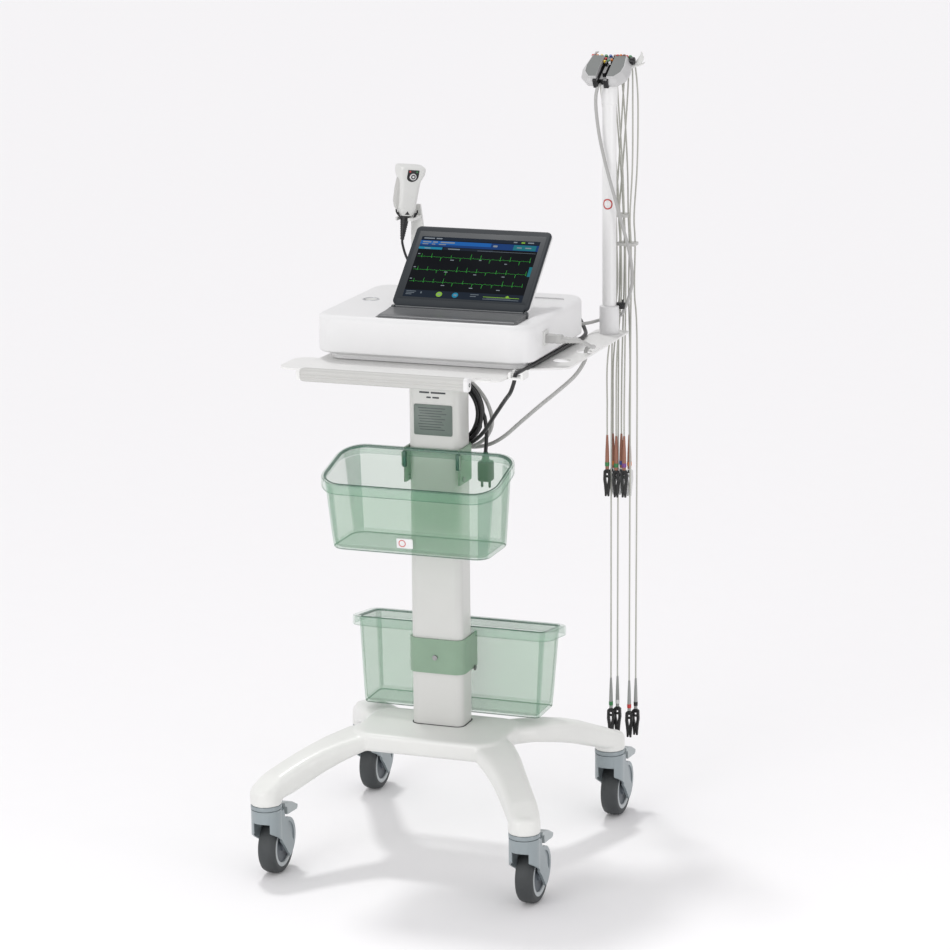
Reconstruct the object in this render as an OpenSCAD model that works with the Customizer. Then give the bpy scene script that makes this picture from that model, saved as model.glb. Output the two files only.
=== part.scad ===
/* [Base] */
// Half of the distance between the caster axes, left to right
caster_x = 236; // [225:1:250]
// Distance of the front caster axes in front of the column
front_y = 246; // [235:1:255]
// Distance of the rear caster axes behind the column
rear_y = 233; // [225:1:245]
// Height of the flat top of the base
base_top = 237; // [236:1:244]
// Thickness of the middle of the base
base_t = 34; // [28:1:38]
// Height of the underside of the leg ends
leg_end = 137; // [137:1:140]

/* [Casters] */
// Wheel radius
wheel_r = 50; // [48:1:50]
// Wheel width
wheel_w = 32; // [28:1:32]
// Distance from the swivel axis to the wheel axle
trail = 38.7; // [36:0.1:42]
// Fork head radius
head_r = 27; // [26:0.5:28]

/* [Column] */
// Column width
column_w = 95; // [90:1:96]
// Column depth
column_d = 60; // [56:1:60]
// Wall of the column
column_wall = 3; // [2:0.5:5]
// Height of the top end of the column
column_top = 881; // [870:1:881]

/* [Tray] */
// Height of the top of the tray
tray_top = 893; // [892:1:893]
// Thickness of the tray sheet
tray_t = 3; // [2:0.5:4]
// Length of the grip bar
grip_l = 296; // [260:1:310]
// Height of the grip bar
grip_h = 23; // [18:1:24]

/* [Recorder] */
// Width of the case
case_w = 392; // [380:1:392]
// Depth of the case
case_d = 315; // [305:1:315]
// Height of the top of the case
case_top_z = 972; // [970:1:974]
// Corner radius of the case
case_r = 36; // [28:1:40]
// Wall of the case
case_wall = 3; // [2:0.5:4]
// Angle between the screen and the horizontal
screen_tilt = 40.4; // [35:0.1:45]
// Width of the screen unit
screen_w = 248; // [244:1:250]
// Length of the screen unit from its hinge to its top edge
screen_l = 181; // [176:1:184]

/* [Baskets] */
// Width of the upper basket across its rim
upper_w = 326; // [310:1:330]
// Depth of the upper basket
upper_d = 145; // [130:1:150]
// Width of the lower basket across its rim
lower_w = 376; // [360:1:380]
// Depth of the lower basket
lower_d = 104; // [90:1:106]
// Wall of the baskets
basket_wall = 3; // [2:0.5:4]

/* [Lead pole] */
// Radius of the pole
pole_r = 12.5; // [11:0.5:13]
// Height of the top of the pole
pole_top = 1331; // [1300:1:1335]
// Radius of the collar at the foot of the pole
collar_r = 17.5; // [16:0.5:18]

/* [Cords] */
// Diameter of a patient lead
lead_d = 3; // [2.5:0.1:3.2]
// Diameter of the trunk cable
trunk_d = 6; // [5:0.5:7]
// Diameter of the mains cord
mains_d = 7; // [6:0.5:7]
// Diameter of the data cable
data_d = 7; // [6:0.5:7]

/* [Hidden] */
$fn = 64;

// The column axis in the part's frame, whose origin is under the middle of the cart
site = [-5.75, -24.1, 0];
gap = 0.4;
pin_play = 0.06;

leg_half = 27;
leg_rise = 46;
leg_top = base_top - 0.7;
leg_under = base_top - base_t + 0.7;
wheel_z = wheel_r;
cheek_at = [37, 63];
cheek_r = 38.5;
axle_l = 41;
head_top = leg_end - 8;
stem_r = 5.5;
kingpin_r = 6;
pedal_y = 31.5;
pedal_z = 116;

basket_draft = 14;
upper_lip = 6;
lower_lip = 12;
upper_back = -36;
upper_floor = 579.5;
upper_rim_front = 698.5;
upper_rim_back = 738;
lower_front = 38;
lower_floor = 242;
lower_rim_front = 404;
lower_rim_back = 390;
clamp_t = 4;
clamp_h = 62;
clamp_fit = 0.2;
clamp_arm_x = column_w / 2 + clamp_fit + clamp_t / 2;
upper_wall_y = upper_back - 3;
lower_wall_y = lower_front + 3;
lower_clamp_z = 333;
upper_screw_z = 715;
lower_screw_z = 362;
screw_r = 2.5;
screw_in = 2.3;

grip_x = -36;
grip_y = -168;
grip_d = 17;

case_y = 67;
case_split = 908;
case_under = 902;
case_front = case_y - case_d / 2;
case_back = case_y + case_d / 2;
recess_z = 968;
screen_x = 42;
hinge_y = -9.2;
hinge_z = 974.8;
hinge_r = 6.4;
hinge_pin_r = 2.5;
panel_w = 217;
panel_h = 135.6;
panel_u = 22;
button_x = -152;
button_y = 72;
button_r = 13;
board_z = 913;
board_t = 1.6;

pole_x = 218;
pole_y = 286;
module_x = 214;
module_y = 257;
module_z = 1333;
module_tilt = 30;
module_w = 88;
module_l = 66;
module_t = 23;

scanner_base = [-150, 238, 1098];
fork_z = 1087.4;
stand_x = -137;
stand_y = 268;
scanner_turn = 38;
scanner_lean = 8;

// Hand-laid cord routes, in the column's frame
trunk_route = [[209, 262, 1338], [206, 256, 1334], [201, 260, 1312], [202, 264, 1278], [208, 264, 1240],
  [219, 264, 1194], [234, 265, 1141], [249, 267, 1087], [260, 273, 1038], [262, 281, 992], [253, 290, 958],
  [242, 300, 936], [232, 310, 922],
  [215, 312, 916], [197, 300, 913], [184, 272, 912], [164, 254, 912], [134, 244, 913], [100, 240, 916],
  [72, 242, 926], [60, 238, 934], [60, 224.5, 936]];
data_route = [[258, -8, 936], [268, -8, 933], [274, 4, 926], [268, 40, 918], [252, 80, 910], [236, 104, 902],
  [229, 115, 892], [227, 115, 876], [214, 100, 852], [190, 80, 828], [160, 72, 802], [124, 74, 770], [90, 78, 740],
  [58, 84, 722], [22, 86, 716], [-16, 84, 724], [-40, 82, 748], [-44, 80, 780], [-30, 80, 818], [0, 82, 846],
  [32, 84, 830], [56, 84, 802], [68, 82, 768], [60, 80, 740], [38, 76, 722], [8, 74, 716], [-28, 78, 722],
  [-60, 84, 748], [-66, 88, 790], [-62, 90, 840], [-60, 90, 872], [-60, 90, 893]];
mains_route = [[150, 276, 933.5], [151, 284, 932], [156, 292, 923], [165, 291, 908], [176, 276, 898],
  [186, 248, 897], [191, 210, 897], [190, 161, 897], [188, 96, 897], [186, 23, 897], [185, -57, 897], [183, -104, 898],
  [181, -119, 896], [180, -123, 884], [168, -108, 862], [142, -60, 838], [110, -20, 802], [74, 20, 760],
  [44, 40, 735], [14, 46, 724]];
scanner_route = [[-154.6, 235.6, 1051], [-154.5, 237, 1042], [-151, 244, 1020], [-142, 252, 996], [-132, 254, 968],
  [-124, 248, 940], [-120, 240, 926], [-120, 233, 924], [-120, 224.5, 924]];
mains_tail = [[66, 49, 780], [68, 52, 756], [66, 56, 734], [64, 58, 716]];
coil_centre = [0, 46, 787];
coil_mid_r = 59;
coil_turns_w = 2;
coil_turns_h = 2;

// One row for each lead: x at the plug, x and y at the combs, then x, y and z of its lower end
chest_leads = [
  [182, 219, 320, 201, 328, 691], [190, 223, 328, 210, 334, 693], [198, 227, 320, 218, 328, 690],
  [206, 231, 328, 226, 334, 694], [214, 235, 320, 233, 328, 691], [222, 240, 328, 241, 334, 693]];
limb_leads = [
  [230, 214, 336, 208, 330, 234], [237, 219, 340, 218, 338, 236], [244, 245, 322, 243, 330, 232],
  [250, 249, 334, 253, 338, 235]];
chest_sleeve = 57;
limb_sleeve = 52;
clip_l = 56;
plug_y = 310;
plug_z = 1374;
comb_top = 1099;
comb_low = 1048;
lead_spread = 0.13;

// --- shared shapes ---

module sited() { translate(site) children(); }

module rounded_rect(w, d, r) {
  square([w - 2 * r, d], center = true);
  square([w, d - 2 * r], center = true);
  for (sx = [-1, 1], sy = [-1, 1]) translate([sx * (w / 2 - r), sy * (d / 2 - r)]) circle(r);
}

module block(w, d, h, r) { linear_extrude(h) rounded_rect(w, d, r); }

// A shape drawn in the Y-Z plane, extruded along X and centred on x = 0
module side_profile(width) {
  translate([-width / 2, 0, 0]) rotate([90, 0, 90]) linear_extrude(width) children();
}

// fixed is +1 or -1 for an upright wall on the +Y or -Y side
module tapered_block(w_top, w_low, d_top, d_low, h, r, fixed) {
  shift = fixed * (d_top - d_low) / 2;
  hull() {
    translate([0, shift, 0]) linear_extrude(0.1) offset(r * 0.6, $fn = 32)
      square([w_low - 1.2 * r, d_low - 1.2 * r], center = true);
    translate([0, 0, h - 0.1]) linear_extrude(0.1) offset(r, $fn = 32)
      square([w_top - 2 * r, d_top - 2 * r], center = true);
  }
}

function unit(v) = v / norm(v);

function route_tangent(p, i) = unit(p[min(i + 1, len(p) - 1)] - p[max(i - 1, 0)]);

function route_normals(p, i, n) = i == len(p) ? [] :
  let (t = route_tangent(p, i), m = unit(n - (n * t) * t)) concat([m], route_normals(p, i + 1, m));

function between(a, b, c, d, t) =
  0.5 * (2 * b + (c - a) * t + (2 * a - 5 * b + 4 * c - d) * t * t + (3 * b - a - 3 * c + d) * t * t * t);

function smooth(p, k) = concat([for (i = [0:len(p) - 2], j = [0:k - 1])
  between(p[max(i - 1, 0)], p[i], p[i + 1], p[min(i + 2, len(p) - 1)], j / k)], [p[len(p) - 1]]);

module tube_along(p, d, sides, start_normal) {
  count = len(p);
  normals = route_normals(p, 0, start_normal);
  points = [for (i = [0:count - 1], j = [0:sides - 1])
    let (t = route_tangent(p, i), m = normals[i], a = 360 * j / sides)
      p[i] + d / 2 * (cos(a) * m + sin(a) * cross(t, m))];
  walls = [for (i = [0:count - 2], j = [0:sides - 1])
    [i * sides + j, (i + 1) * sides + j, (i + 1) * sides + (j + 1) % sides, i * sides + (j + 1) % sides]];
  ends = [[for (j = [0:sides - 1]) j], [for (j = [sides - 1:-1:0]) (count - 1) * sides + j]];
  polyhedron(points, concat(walls, ends));
}

// --- base and column ---

function leg_top_at(s, run) = leg_end + leg_rise + (leg_top - leg_end - leg_rise) * sin(90 * min(1, max(0, s / run)));

function leg_under_at(s, run) =
  leg_end + 11 + (leg_under - leg_end - 11) * sin(90 * min(1, max(0, (s - 20) / (run - 20))));

module leg(from, to, half_out, half_in) {
  run = norm(to - from);
  turn = atan2(to.y - from.y, to.x - from.x);
  steps = [for (k = [0:8]) k / 8];
  translate([from.x, from.y, 0]) rotate([0, 0, turn]) {
    intersection() {
      linear_extrude(base_top) union() {
        circle(head_r + 0.5);
        polygon([[0, -half_out], [run, -half_in], [run + 40, -half_in], [run + 40, half_in], [run, half_in],
          [0, half_out]]);
      }
      translate([0, 60, 0]) rotate([90, 0, 0]) linear_extrude(120) polygon(concat(
        [[-head_r - 2, leg_end], [-head_r - 2, leg_end + leg_rise - 14], [-head_r * 0.6, leg_end + leg_rise - 4]],
        [for (k = steps) [k * run, leg_top_at(k * run, run)]],
        [[run + 40, leg_top], [run + 40, leg_under]],
        [for (k = steps) let (s = run - k * (run - head_r)) [s, leg_under_at(s, run)]],
        [[head_r, leg_end]]));
    }
  }
}

module base_frame() {
  color("whitesmoke") sited() difference() {
    union() {
      translate([0, -31, base_top - base_t]) block(276, 168, base_t, 44);
      for (s = [-1, 1]) {
        leg([s * caster_x, -front_y], [s * 124, -86], leg_half, 36);
        leg([s * caster_x, rear_y], [s * 116, 4], leg_half, 34);
      }
    }
    for (s = [-1, 1], y = [-front_y, rear_y])
      translate([s * caster_x, y, leg_end - 1]) cylinder(r = stem_r, h = 34);
  }
}

module column() {
  color("white") sited() difference() {
    translate([0, 0, base_top]) block(column_w, column_d, column_top - base_top, 14);
    translate([0, 0, base_top + 6])
      block(column_w - 2 * column_wall, column_d - 2 * column_wall, column_top, 14 - column_wall);
    screw_holes(1, upper_screw_z);
    screw_holes(-1, lower_screw_z);
  }
}

// --- casters ---

module at_caster(sx, y) { translate([sx * caster_x, y, 0]) children(); }

module caster_stems() {
  color("slategray") sited() for (s = [-1, 1], y = [-front_y, rear_y]) at_caster(s, y) {
    translate([0, 0, head_top]) cylinder(r = head_r, h = 8);
    translate([0, 0, leg_end]) cylinder(r = stem_r, h = 30);
    translate([0, 0, head_top - 26]) cylinder(r = kingpin_r, h = 26);
    translate([0, 0, head_top - 26]) cylinder(r = 9, h = 3);
  }
}

// A fork's cheek is a round plate behind the head; under_fork is what is cut away below it
module fork_side() {
  translate(cheek_at) circle(cheek_r);
  polygon([[0, 60], [cheek_at.x, 60], [cheek_at.x, cheek_at.y + cheek_r], [30, 107], [26, head_top - 8],
    [0, head_top - 8]]);
}

module under_fork() polygon([[-40, 102.5], [-23, 91], [11, 68], [27, 54], [50, 27], [50, -10], [-40, -10]]);

module fork(sx, y) {
  color("lightslategray") sited() at_caster(sx, y) difference() {
    union() {
      translate([0, 0, 66]) cylinder(r = head_r - 0.5, h = head_top - 66 - gap);
      for (s = [-1, 1]) {
        translate([s * 19.75, 0, 0]) side_profile(4.5) fork_side();
        translate([s * 15, 0, 0]) side_profile(4) {
          translate([pedal_y, pedal_z]) circle(5.5);
          translate([18, pedal_z - 5.5]) square([pedal_y - 18, 11]);
        }
      }
    }
    translate([0, 0, 60]) cylinder(r = kingpin_r + pin_play, h = 90);
    translate([0, 0, 60]) cylinder(r = 9 + gap, h = head_top - 60 - 26 + 3 + gap);
    translate([0, 0, 60]) cylinder(r = head_r - 4, h = 42);
    translate([-15, -40, 60]) cube([30, 27, 47]);
    translate([-17.5, 0, 0]) cube([35, 100, 101.5]);
    side_profile(60) under_fork();
    side_profile(60) translate([pedal_y, pedal_z]) circle(2.5 + pin_play);
    side_profile(axle_l) translate([trail, wheel_z]) circle(4);
    for (s = [-1, 1]) translate([s * 22, 0, 0]) side_profile(4) intersection() {
      translate(cheek_at) circle(cheek_r - 7.5);
      polygon([[40, 93], [80, 93], [80, 50], [66, 50]]);
    }
  }
}

module axle(sx, y) {
  color("silver") sited() at_caster(sx, y) {
    side_profile(axle_l) translate([trail, wheel_z]) circle(4);
  }
}

module wheel(sx, y) {
  half = wheel_w / 2;
  color("dimgray") sited() at_caster(sx, y) translate([0, trail, wheel_z]) rotate([0, 90, 0])
    rotate_extrude() polygon([[4 + pin_play, -17], [10, -17], [11, -11], [29, -11], [32, -14], [37, -14], [38, -half],
      [wheel_r - 6, -half], [wheel_r - 2, -half + 3], [wheel_r, -half + 7], [wheel_r, half - 7],
      [wheel_r - 2, half - 3], [wheel_r - 6, half], [38, half], [37, 14], [32, 14], [29, 11], [11, 11],
      [10, 17], [4 + pin_play, 17]]);
}

module pedal(sx, y) {
  color("slategray") sited() at_caster(sx, y) {
    side_profile(46) polygon([[28.5, 130], [28.5, 124], [38, 122], [39, 107], [80, 104], [84, 106], [85, 111],
      [60, 124]]);
    side_profile(25.2) {
      translate([pedal_y, pedal_z]) circle(4.2);
      polygon([[28.5, 116], [35, 116], [36, 124], [28.5, 125.5]]);
    }
    side_profile(34) translate([pedal_y, pedal_z]) circle(2.5);
  }
}

// --- baskets ---

// The basket's wall that faces the column is upright; side is +1 for a basket behind the column
module basket(w, d, back_y, floor_z, rim_front, rim_back, r, side, lip) {
  height = max(rim_front, rim_back) - floor_z;
  slope = atan2(rim_back - rim_front, d);
  mid_y = back_y + side * d / 2;
  top_w = w - 2 * lip;
  low_w = top_w - 2 * basket_draft;
  t = basket_wall;
  front = side < 0 ? mid_y - d / 2 : back_y;
  module solid(grow) {
    translate([0, mid_y, floor_z]) tapered_block(top_w + 2 * grow, low_w + 2 * grow, d - 6 + 2 * grow,
      d - 6 - basket_draft + 2 * grow, height, r, -side);
  }
  module below(z) {
    translate([-w, front, z]) rotate([slope, 0, 0]) translate([0, -d, -height * 2]) cube([2 * w, 3 * d, height * 2]);
  }
  difference() {
    union() {
      intersection() {
        solid(0);
        below(rim_front);
      }
      difference() {
        intersection() {
          solid(lip - 1);
          difference() {
            below(rim_front);
            below(rim_front - 16);
          }
        }
        translate([-58, back_y + side * 3, floor_z]) mirror([0, side > 0 ? 1 : 0, 0]) cube([116, 2 * lip, 2 * height]);
      }
    }
    translate([0, 0, t]) solid(-t);
    difference() {
      intersection() {
        solid(lip - 3);
        below(rim_front - 3);
      }
      solid(0);
    }
  }
}

module upper_basket() {
  color([0.62, 0.76, 0.68, 0.6]) sited() difference() {
    basket(upper_w, upper_d, upper_back, upper_floor, upper_rim_front, upper_rim_back, 34, -1, upper_lip);
    for (s = [-1, 1]) translate([s * clamp_arm_x - 3, upper_wall_y - 5, 704]) cube([6, 10, 28]);
  }
}

module lower_basket() {
  color([0.6, 0.76, 0.66, 0.6]) sited()
    basket(lower_w, lower_d, lower_front, lower_floor, lower_rim_front, lower_rim_back, 14, 1, lower_lip);
}

// A strap that wraps one side of the column; side is +1 for a strap behind it
module clamp_strap(z, side, reach) {
  inner_w = column_w + 2 * clamp_fit;
  inner_d = column_d + 2 * clamp_fit;
  translate([0, 0, z]) difference() {
    intersection() {
      block(inner_w + 2 * clamp_t, inner_d + 2 * clamp_t, clamp_h, 14 + clamp_t);
      translate([-100, side > 0 ? 0 : -100, 0]) cube([200, 100, clamp_h]);
    }
    translate([0, 0, -1]) block(inner_w, inner_d, clamp_h + 2, 14);
  }
  for (s = [-1, 1])
    translate([s * clamp_arm_x - clamp_t / 2, side > 0 ? -reach : 0, z]) cube([clamp_t, reach, clamp_h]);
}

module screw_holes(side, z) {
  translate([0, side * (column_d / 2 - screw_in), z]) rotate([-90 * side, 0, 0]) cylinder(r = screw_r, h = 20);
  for (s = [-1, 1])
    translate([s * (column_w / 2 - screw_in), -side * 25, z - 30]) rotate([0, 90 * s, 0]) cylinder(r = screw_r, h = 20);
}

module upper_clamp() {
  color([0.5, 0.66, 0.58]) sited() difference() {
    union() {
      clamp_strap(upper_rim_back - clamp_h, 1, -upper_wall_y);
      for (s = [-1, 1]) translate([s * clamp_arm_x, upper_wall_y, 706]) {
        translate([-clamp_t / 2, -6, 0]) cube([clamp_t, 8, 24]);
        translate([s > 0 ? -clamp_t / 2 : clamp_t / 2 - 6, -6, 0]) cube([6, 3, 24]);
      }
    }
    screw_holes(1, upper_screw_z);
  }
}

module lower_clamp() {
  color([0.5, 0.66, 0.58]) sited() difference() {
    clamp_strap(lower_clamp_z, -1, lower_wall_y);
    screw_holes(-1, lower_screw_z);
  }
}

module clamp_screw() {
  cylinder(r = screw_r, h = 9);
  translate([0, 0, screw_in + clamp_fit + clamp_t]) cylinder(r = 4.5, h = 2.6);
}

module clamp_screws() {
  color("silver") sited() for (side = [-1, 1]) {
    z = side > 0 ? upper_screw_z : lower_screw_z;
    translate([0, side * (column_d / 2 - screw_in), z]) rotate([-90 * side, 0, 0]) clamp_screw();
    for (s = [-1, 1])
      translate([s * (column_w / 2 - screw_in), -side * 25, z - 30]) rotate([0, 90 * s, 0]) clamp_screw();
  }
}

module cord_hook() {
  color("white") sited() {
    translate([-14, column_d / 2, 812]) cube([28, 3, 44]);
    translate([-6, column_d / 2 + 2, 834]) cube([12, 70, 4]);
    translate([-6, column_d / 2 + 68, 834]) cube([12, 4, 20]);
  }
}

// --- tray ---

module tray_bracket() {
  color("lightgray") sited() {
    translate([0, 0, 836]) block(column_w - 2 * column_wall - 0.4, column_d - 2 * column_wall - 0.4, 46, 10.5);
    translate([0, 10, column_top]) block(150, 130, tray_top - tray_t - column_top, 20);
  }
}

function arc(cx, cy, r, a0, a1) = [for (k = [0:6]) let (a = a0 + (a1 - a0) * k / 6) [cx + r * cos(a), cy + r * sin(a)]];

module tray_outline() {
  polygon(concat(
    [[-196, -168]], arc(148, -146, 22, -90, -10), [[174, -100], [177, -62]],
    arc(186, -60, 9, 180, 100), arc(222, -12, 23, -80, 0), [[245, 20]],
    arc(235, 306, 12, 0, 90), arc(198, 306, 12, 90, 180), [[186, 240]],
    arc(176, 230, 6, 0, 90), [[-110, 236]], arc(-114, 262, 8, 0, 90), arc(-146, 262, 8, 90, 180), [[-154, 236]],
    arc(-176, 222, 14, 90, 180), [[-190, -62]],
    arc(-206, -98, 26, 60, 180), arc(-208, -144, 24, 180, 270)));
}

module tray() {
  color("white") sited() difference() {
    union() {
      translate([0, 0, tray_top - tray_t]) linear_extrude(tray_t) tray_outline();
      translate([-196, -168, tray_top - 20]) cube([grip_l + 10, 3, 18]);
      translate([45, -168, tray_top - 21]) cube([31, 8, 5]);
      translate([174, -136, tray_top - tray_t]) difference() {
        cube([26, 30, 12]);
        translate([-1, 8, -1]) cube([16, 14, 20]);
        translate([4, -1, tray_t]) cube([18, 40, 20]);
      }
    }
    for (h = [[214, 30, 15], [226, 116, 14]]) translate([h.x, h.y, tray_top - 10]) cylinder(r = h.z, h = 20);
    translate([134, -156, tray_top - 10]) block(34, 13, 20, 6);
    translate([224, 169, tray_top - 10]) cylinder(r = 3.3, h = 20);
    translate([174, -128, tray_top - 10]) cube([14, 14, 14]);
    translate([-60, 90, tray_top - 10]) cylinder(r = 6, h = 20);
  }
}

module handle_grip() {
  color([0.78, 0.79, 0.77]) sited() translate([grip_x, grip_y - grip_d / 2 - gap / 4, tray_top + 4 - grip_h]) {
    difference() {
      rotate([90, 0, 90]) translate([0, grip_h / 2, -grip_l / 2]) block(grip_d, grip_h, grip_l, 6);
      for (z = [7, 11.5, 16]) translate([0, -grip_d / 2, z]) rotate([0, 90, 0])
        translate([0, 0, -grip_l]) cylinder(r = 0.8, h = 2 * grip_l);
      for (s = [-1, 1]) translate([s * (grip_l / 2 - 20), 0, grip_h / 2]) rotate([0, 90 * s, 0]) cylinder(r = 2, h = 30);
    }
  }
}

module handle_cap() {
  color("white") sited()
    translate([grip_x + grip_l / 2, grip_y - grip_d / 2 - gap / 4, tray_top + 4 - grip_h + grip_h / 2]) {
    difference() {
      rotate([90, 0, 90]) block(grip_d, grip_h + 1, 8, 6);
      translate([5, 0, 0]) rotate([0, 90, 0]) cylinder(r = 3.6, h = 10);
    }
    translate([-19, 0, 0]) rotate([0, 90, 0]) cylinder(r = 2, h = 20);
  }
}

// --- recorder ---

module case_cover() {
  color("white") sited() difference() {
    translate([0, case_y, case_split]) block(case_w, case_d, case_top_z - case_split, case_r);
    translate([0, case_y, case_split - 1])
      block(case_w - 2 * case_wall, case_d - 2 * case_wall, recess_z - case_split - 3 + 1, case_r - case_wall);
    translate([screen_x - 128, -80, recess_z]) cube([258, 258, 10]);
    translate([button_x, button_y, case_split]) cylinder(r = button_r + gap, h = 80);
    translate([case_w / 2 - 10, -19, 927]) cube([20, 22, 23]);
    translate([136, case_back - 10, 923.5]) cube([28, 20, 20]);
    translate([100, case_back - 10, 940]) rotate([-90, 0, 0]) cylinder(r = 3, h = 20);
  }
}

module case_base() {
  inset = 16;
  color("white") sited() for (sx = [-1, 1], sy = [-1, 1])
    translate([20 + sx * 120, case_y + sy * 95, case_under + 2]) cylinder(r = 4, h = board_z - case_under - 2);
  color("white") sited() difference() {
    union() {
      translate([0, case_y, case_under]) hull() {
        block(case_w - 2 * inset, case_d - 2 * inset, 1, case_r - inset / 2, $fn = 32);
        translate([0, 0, case_split - case_under - 1]) block(case_w, case_d, 1, case_r, $fn = 32);
      }
      translate([0, case_y, tray_top + 1])
        block(case_w - 2 * inset - 4, case_d - 2 * inset - 4, case_under - tray_top, case_r - inset / 2);
    }
    translate([0, case_y, case_under + 3]) hull() {
      block(case_w - 2 * inset - 6, case_d - 2 * inset - 6, 1, case_r - inset / 2 - 3, $fn = 32);
      translate([0, 0, case_split - case_under - 3]) block(case_w - 6, case_d - 6, 2, case_r - 3, $fn = 32);
    }
    for (s = [-1, 1], y = [-36, 170])
      translate([s * 140, y, tray_top - 1]) cylinder(r = 10 + gap, h = 6);
  }
}

module case_feet() {
  color("dimgray") sited() for (s = [-1, 1], y = [-36, 170])
    translate([s * 140, y, tray_top]) cylinder(r = 10, h = 5);
}

module main_board() {
  color("seagreen") sited() {
    translate([20, case_y, board_z]) block(270, 220, board_t, 4);
    for (p = [[-60, 40, 30], [20, 90, 36], [70, 110, 24], [-20, 120, 20]])
      translate([p.x, p.y, board_z + board_t]) block(p.z, p.z, 3, 2);
  }
}

module battery() {
  color("darkslategray") sited() translate([70, 20, board_z + board_t]) block(130, 70, 24, 6);
}

module power_button() {
  color("lightgray") sited() translate([button_x, button_y, 0]) {
    translate([0, 0, case_top_z - 4]) cylinder(r = button_r, h = 3.6);
    translate([0, 0, 958]) cylinder(r = 4, h = 12);
  }
}

module patient_socket() {
  color("gainsboro") sited() difference() {
    union() {
      translate([case_w / 2 - 8, -19, 927]) cube([8, 22, 23]);
      translate([case_w / 2, -20.5, 925.5]) cube([3, 25, 26]);
    }
    translate([case_w / 2 - 4, -16, 930]) cube([10, 16, 17]);
  }
}

module mains_inlet() {
  color("black") sited() difference() {
    union() {
      translate([136, case_back - 8, 923.5]) cube([28, 8, 20]);
      translate([132, case_back, 921.5]) cube([36, 2, 24]);
    }
    translate([138, case_back - 6, 925.5]) cube([24, 12, 16]);
  }
}

module earth_stud() {
  color("gold") sited() translate([100, case_back - 6, 940]) rotate([-90, 0, 0]) {
    cylinder(r = 3, h = 22);
    translate([0, 0, 6]) cylinder(r = 5, h = 3);
  }
}

// --- screen ---

module hinge_strip() {
  color([0.25, 0.27, 0.29]) sited() translate([screen_x, 0, 0]) {
    difference() {
      side_profile(screen_w - 1) polygon([[-79, recess_z + 0.2], [-79, 974], [-70, 976], [-30, 977], [-19, 975],
        [-17, recess_z + 0.2]]);
      side_profile(screen_w + 2) translate([hinge_y, hinge_z]) circle(hinge_r + 0.5);
    }
    for (s = [-1, 1]) translate([s * (screen_w / 2 - 3.5), 0, 0]) difference() {
      side_profile(6) {
        translate([hinge_y, hinge_z]) circle(hinge_r);
        polygon([[-24, recess_z + 0.2], [-24, 975], [hinge_y, hinge_z], [hinge_y + 5, recess_z + 0.2]]);
      }
      side_profile(8) translate([hinge_y, hinge_z]) circle(hinge_pin_r);
    }
  }
}

module hinge_pin() {
  color("silver") sited() translate([screen_x, 0, 0])
    side_profile(screen_w - 4) translate([hinge_y, hinge_z]) circle(hinge_pin_r);
}

// The screen lies in its own plane: x across, y up the slope from the hinge axis, z out of the glass
module in_screen() {
  sited() translate([screen_x, hinge_y, hinge_z]) rotate([screen_tilt, 0, 0]) children();
}

module screen_frame() {
  color([0.26, 0.28, 0.3]) in_screen() difference() {
    union() {
      side_profile(screen_w - 14) circle(hinge_r);
      translate([0, 6 + (screen_l - 6) / 2, 2]) block(screen_w, screen_l - 6, 5, 9);
      translate([-(screen_w - 14) / 2, 0, 2]) cube([screen_w - 14, 20, 4.6]);
    }
    side_profile(screen_w) circle(hinge_pin_r + pin_play);
    for (s = [-1, 1]) translate([s * 122.5, 0, 0]) side_profile(11) circle(hinge_r + 0.6);
    translate([0, panel_u + panel_h / 2, 4]) cube([panel_w + 0.4, panel_h + 0.4, 20], center = true);
  }
}

module screen_back() {
  color("white") in_screen() difference() {
    union() {
      translate([0, 6 + (screen_l - 6) / 2, -5]) block(screen_w + 1, screen_l - 5, 7, 9.5);
    }
    translate([0, 6 + (screen_l - 6) / 2, -2.5]) block(screen_w - 4, screen_l - 10, 10, 8);
    side_profile(screen_w + 4) circle(hinge_r + 0.4);
  }
}

module display_panel() {
  color("black") in_screen() translate([0, panel_u + panel_h / 2, 2.2]) block(panel_w, panel_h, 4.6, 1);
}

// --- lead pole ---

module pole() {
  color("white") sited() translate([pole_x, pole_y, 0]) difference() {
    union() {
      translate([0, 0, tray_top]) cylinder(r = pole_r, h = pole_top - tray_top);
      translate([0, 0, pole_top - 28]) cylinder(r = pole_r + 2, h = 60);
    }
    translate([0, 0, tray_top - 1]) cylinder(r = pole_r - 2, h = pole_top - tray_top - 60);
    translate([module_x - pole_x - 50, module_y - pole_y, module_z]) rotate([module_tilt, 0, 0]) cube([100, 100, 90]);
  }
}

module pole_collar() {
  color("white") sited() translate([pole_x, pole_y, tray_top]) difference() {
    cylinder(r = collar_r, h = 50);
    translate([0, 0, -1]) cylinder(r = pole_r, h = 60);
  }
}

// The module lies in its own plane: x across, y up the slope from its front edge, z out of its face
module in_module() {
  sited() translate([module_x, module_y, module_z]) rotate([module_tilt, 0, 0]) children();
}

module lead_module() {
  half = module_w / 2;
  color([0.78, 0.79, 0.79]) in_module() difference() {
    for (s = [-1, 1]) linear_extrude(module_t) polygon([[s * 9, 0], [s * (half - 16), 0], [s * (half - 3), 16],
      [s * half, 34], [s * (half - 6), module_l], [s * 9, module_l]]);
    translate([0, 0, 13]) linear_extrude(20) polygon([[-11, -1], [11, -1], [9, 12], [9, 80], [-9, 80], [-9, 12]]);
  }
}

module module_core() {
  color("black") in_module() difference() {
    translate([-9, 0, 0]) cube([18, module_l, 12]);
    translate([-3, -1, 4]) cube([6, 14, 20]);
  }
}

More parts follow.
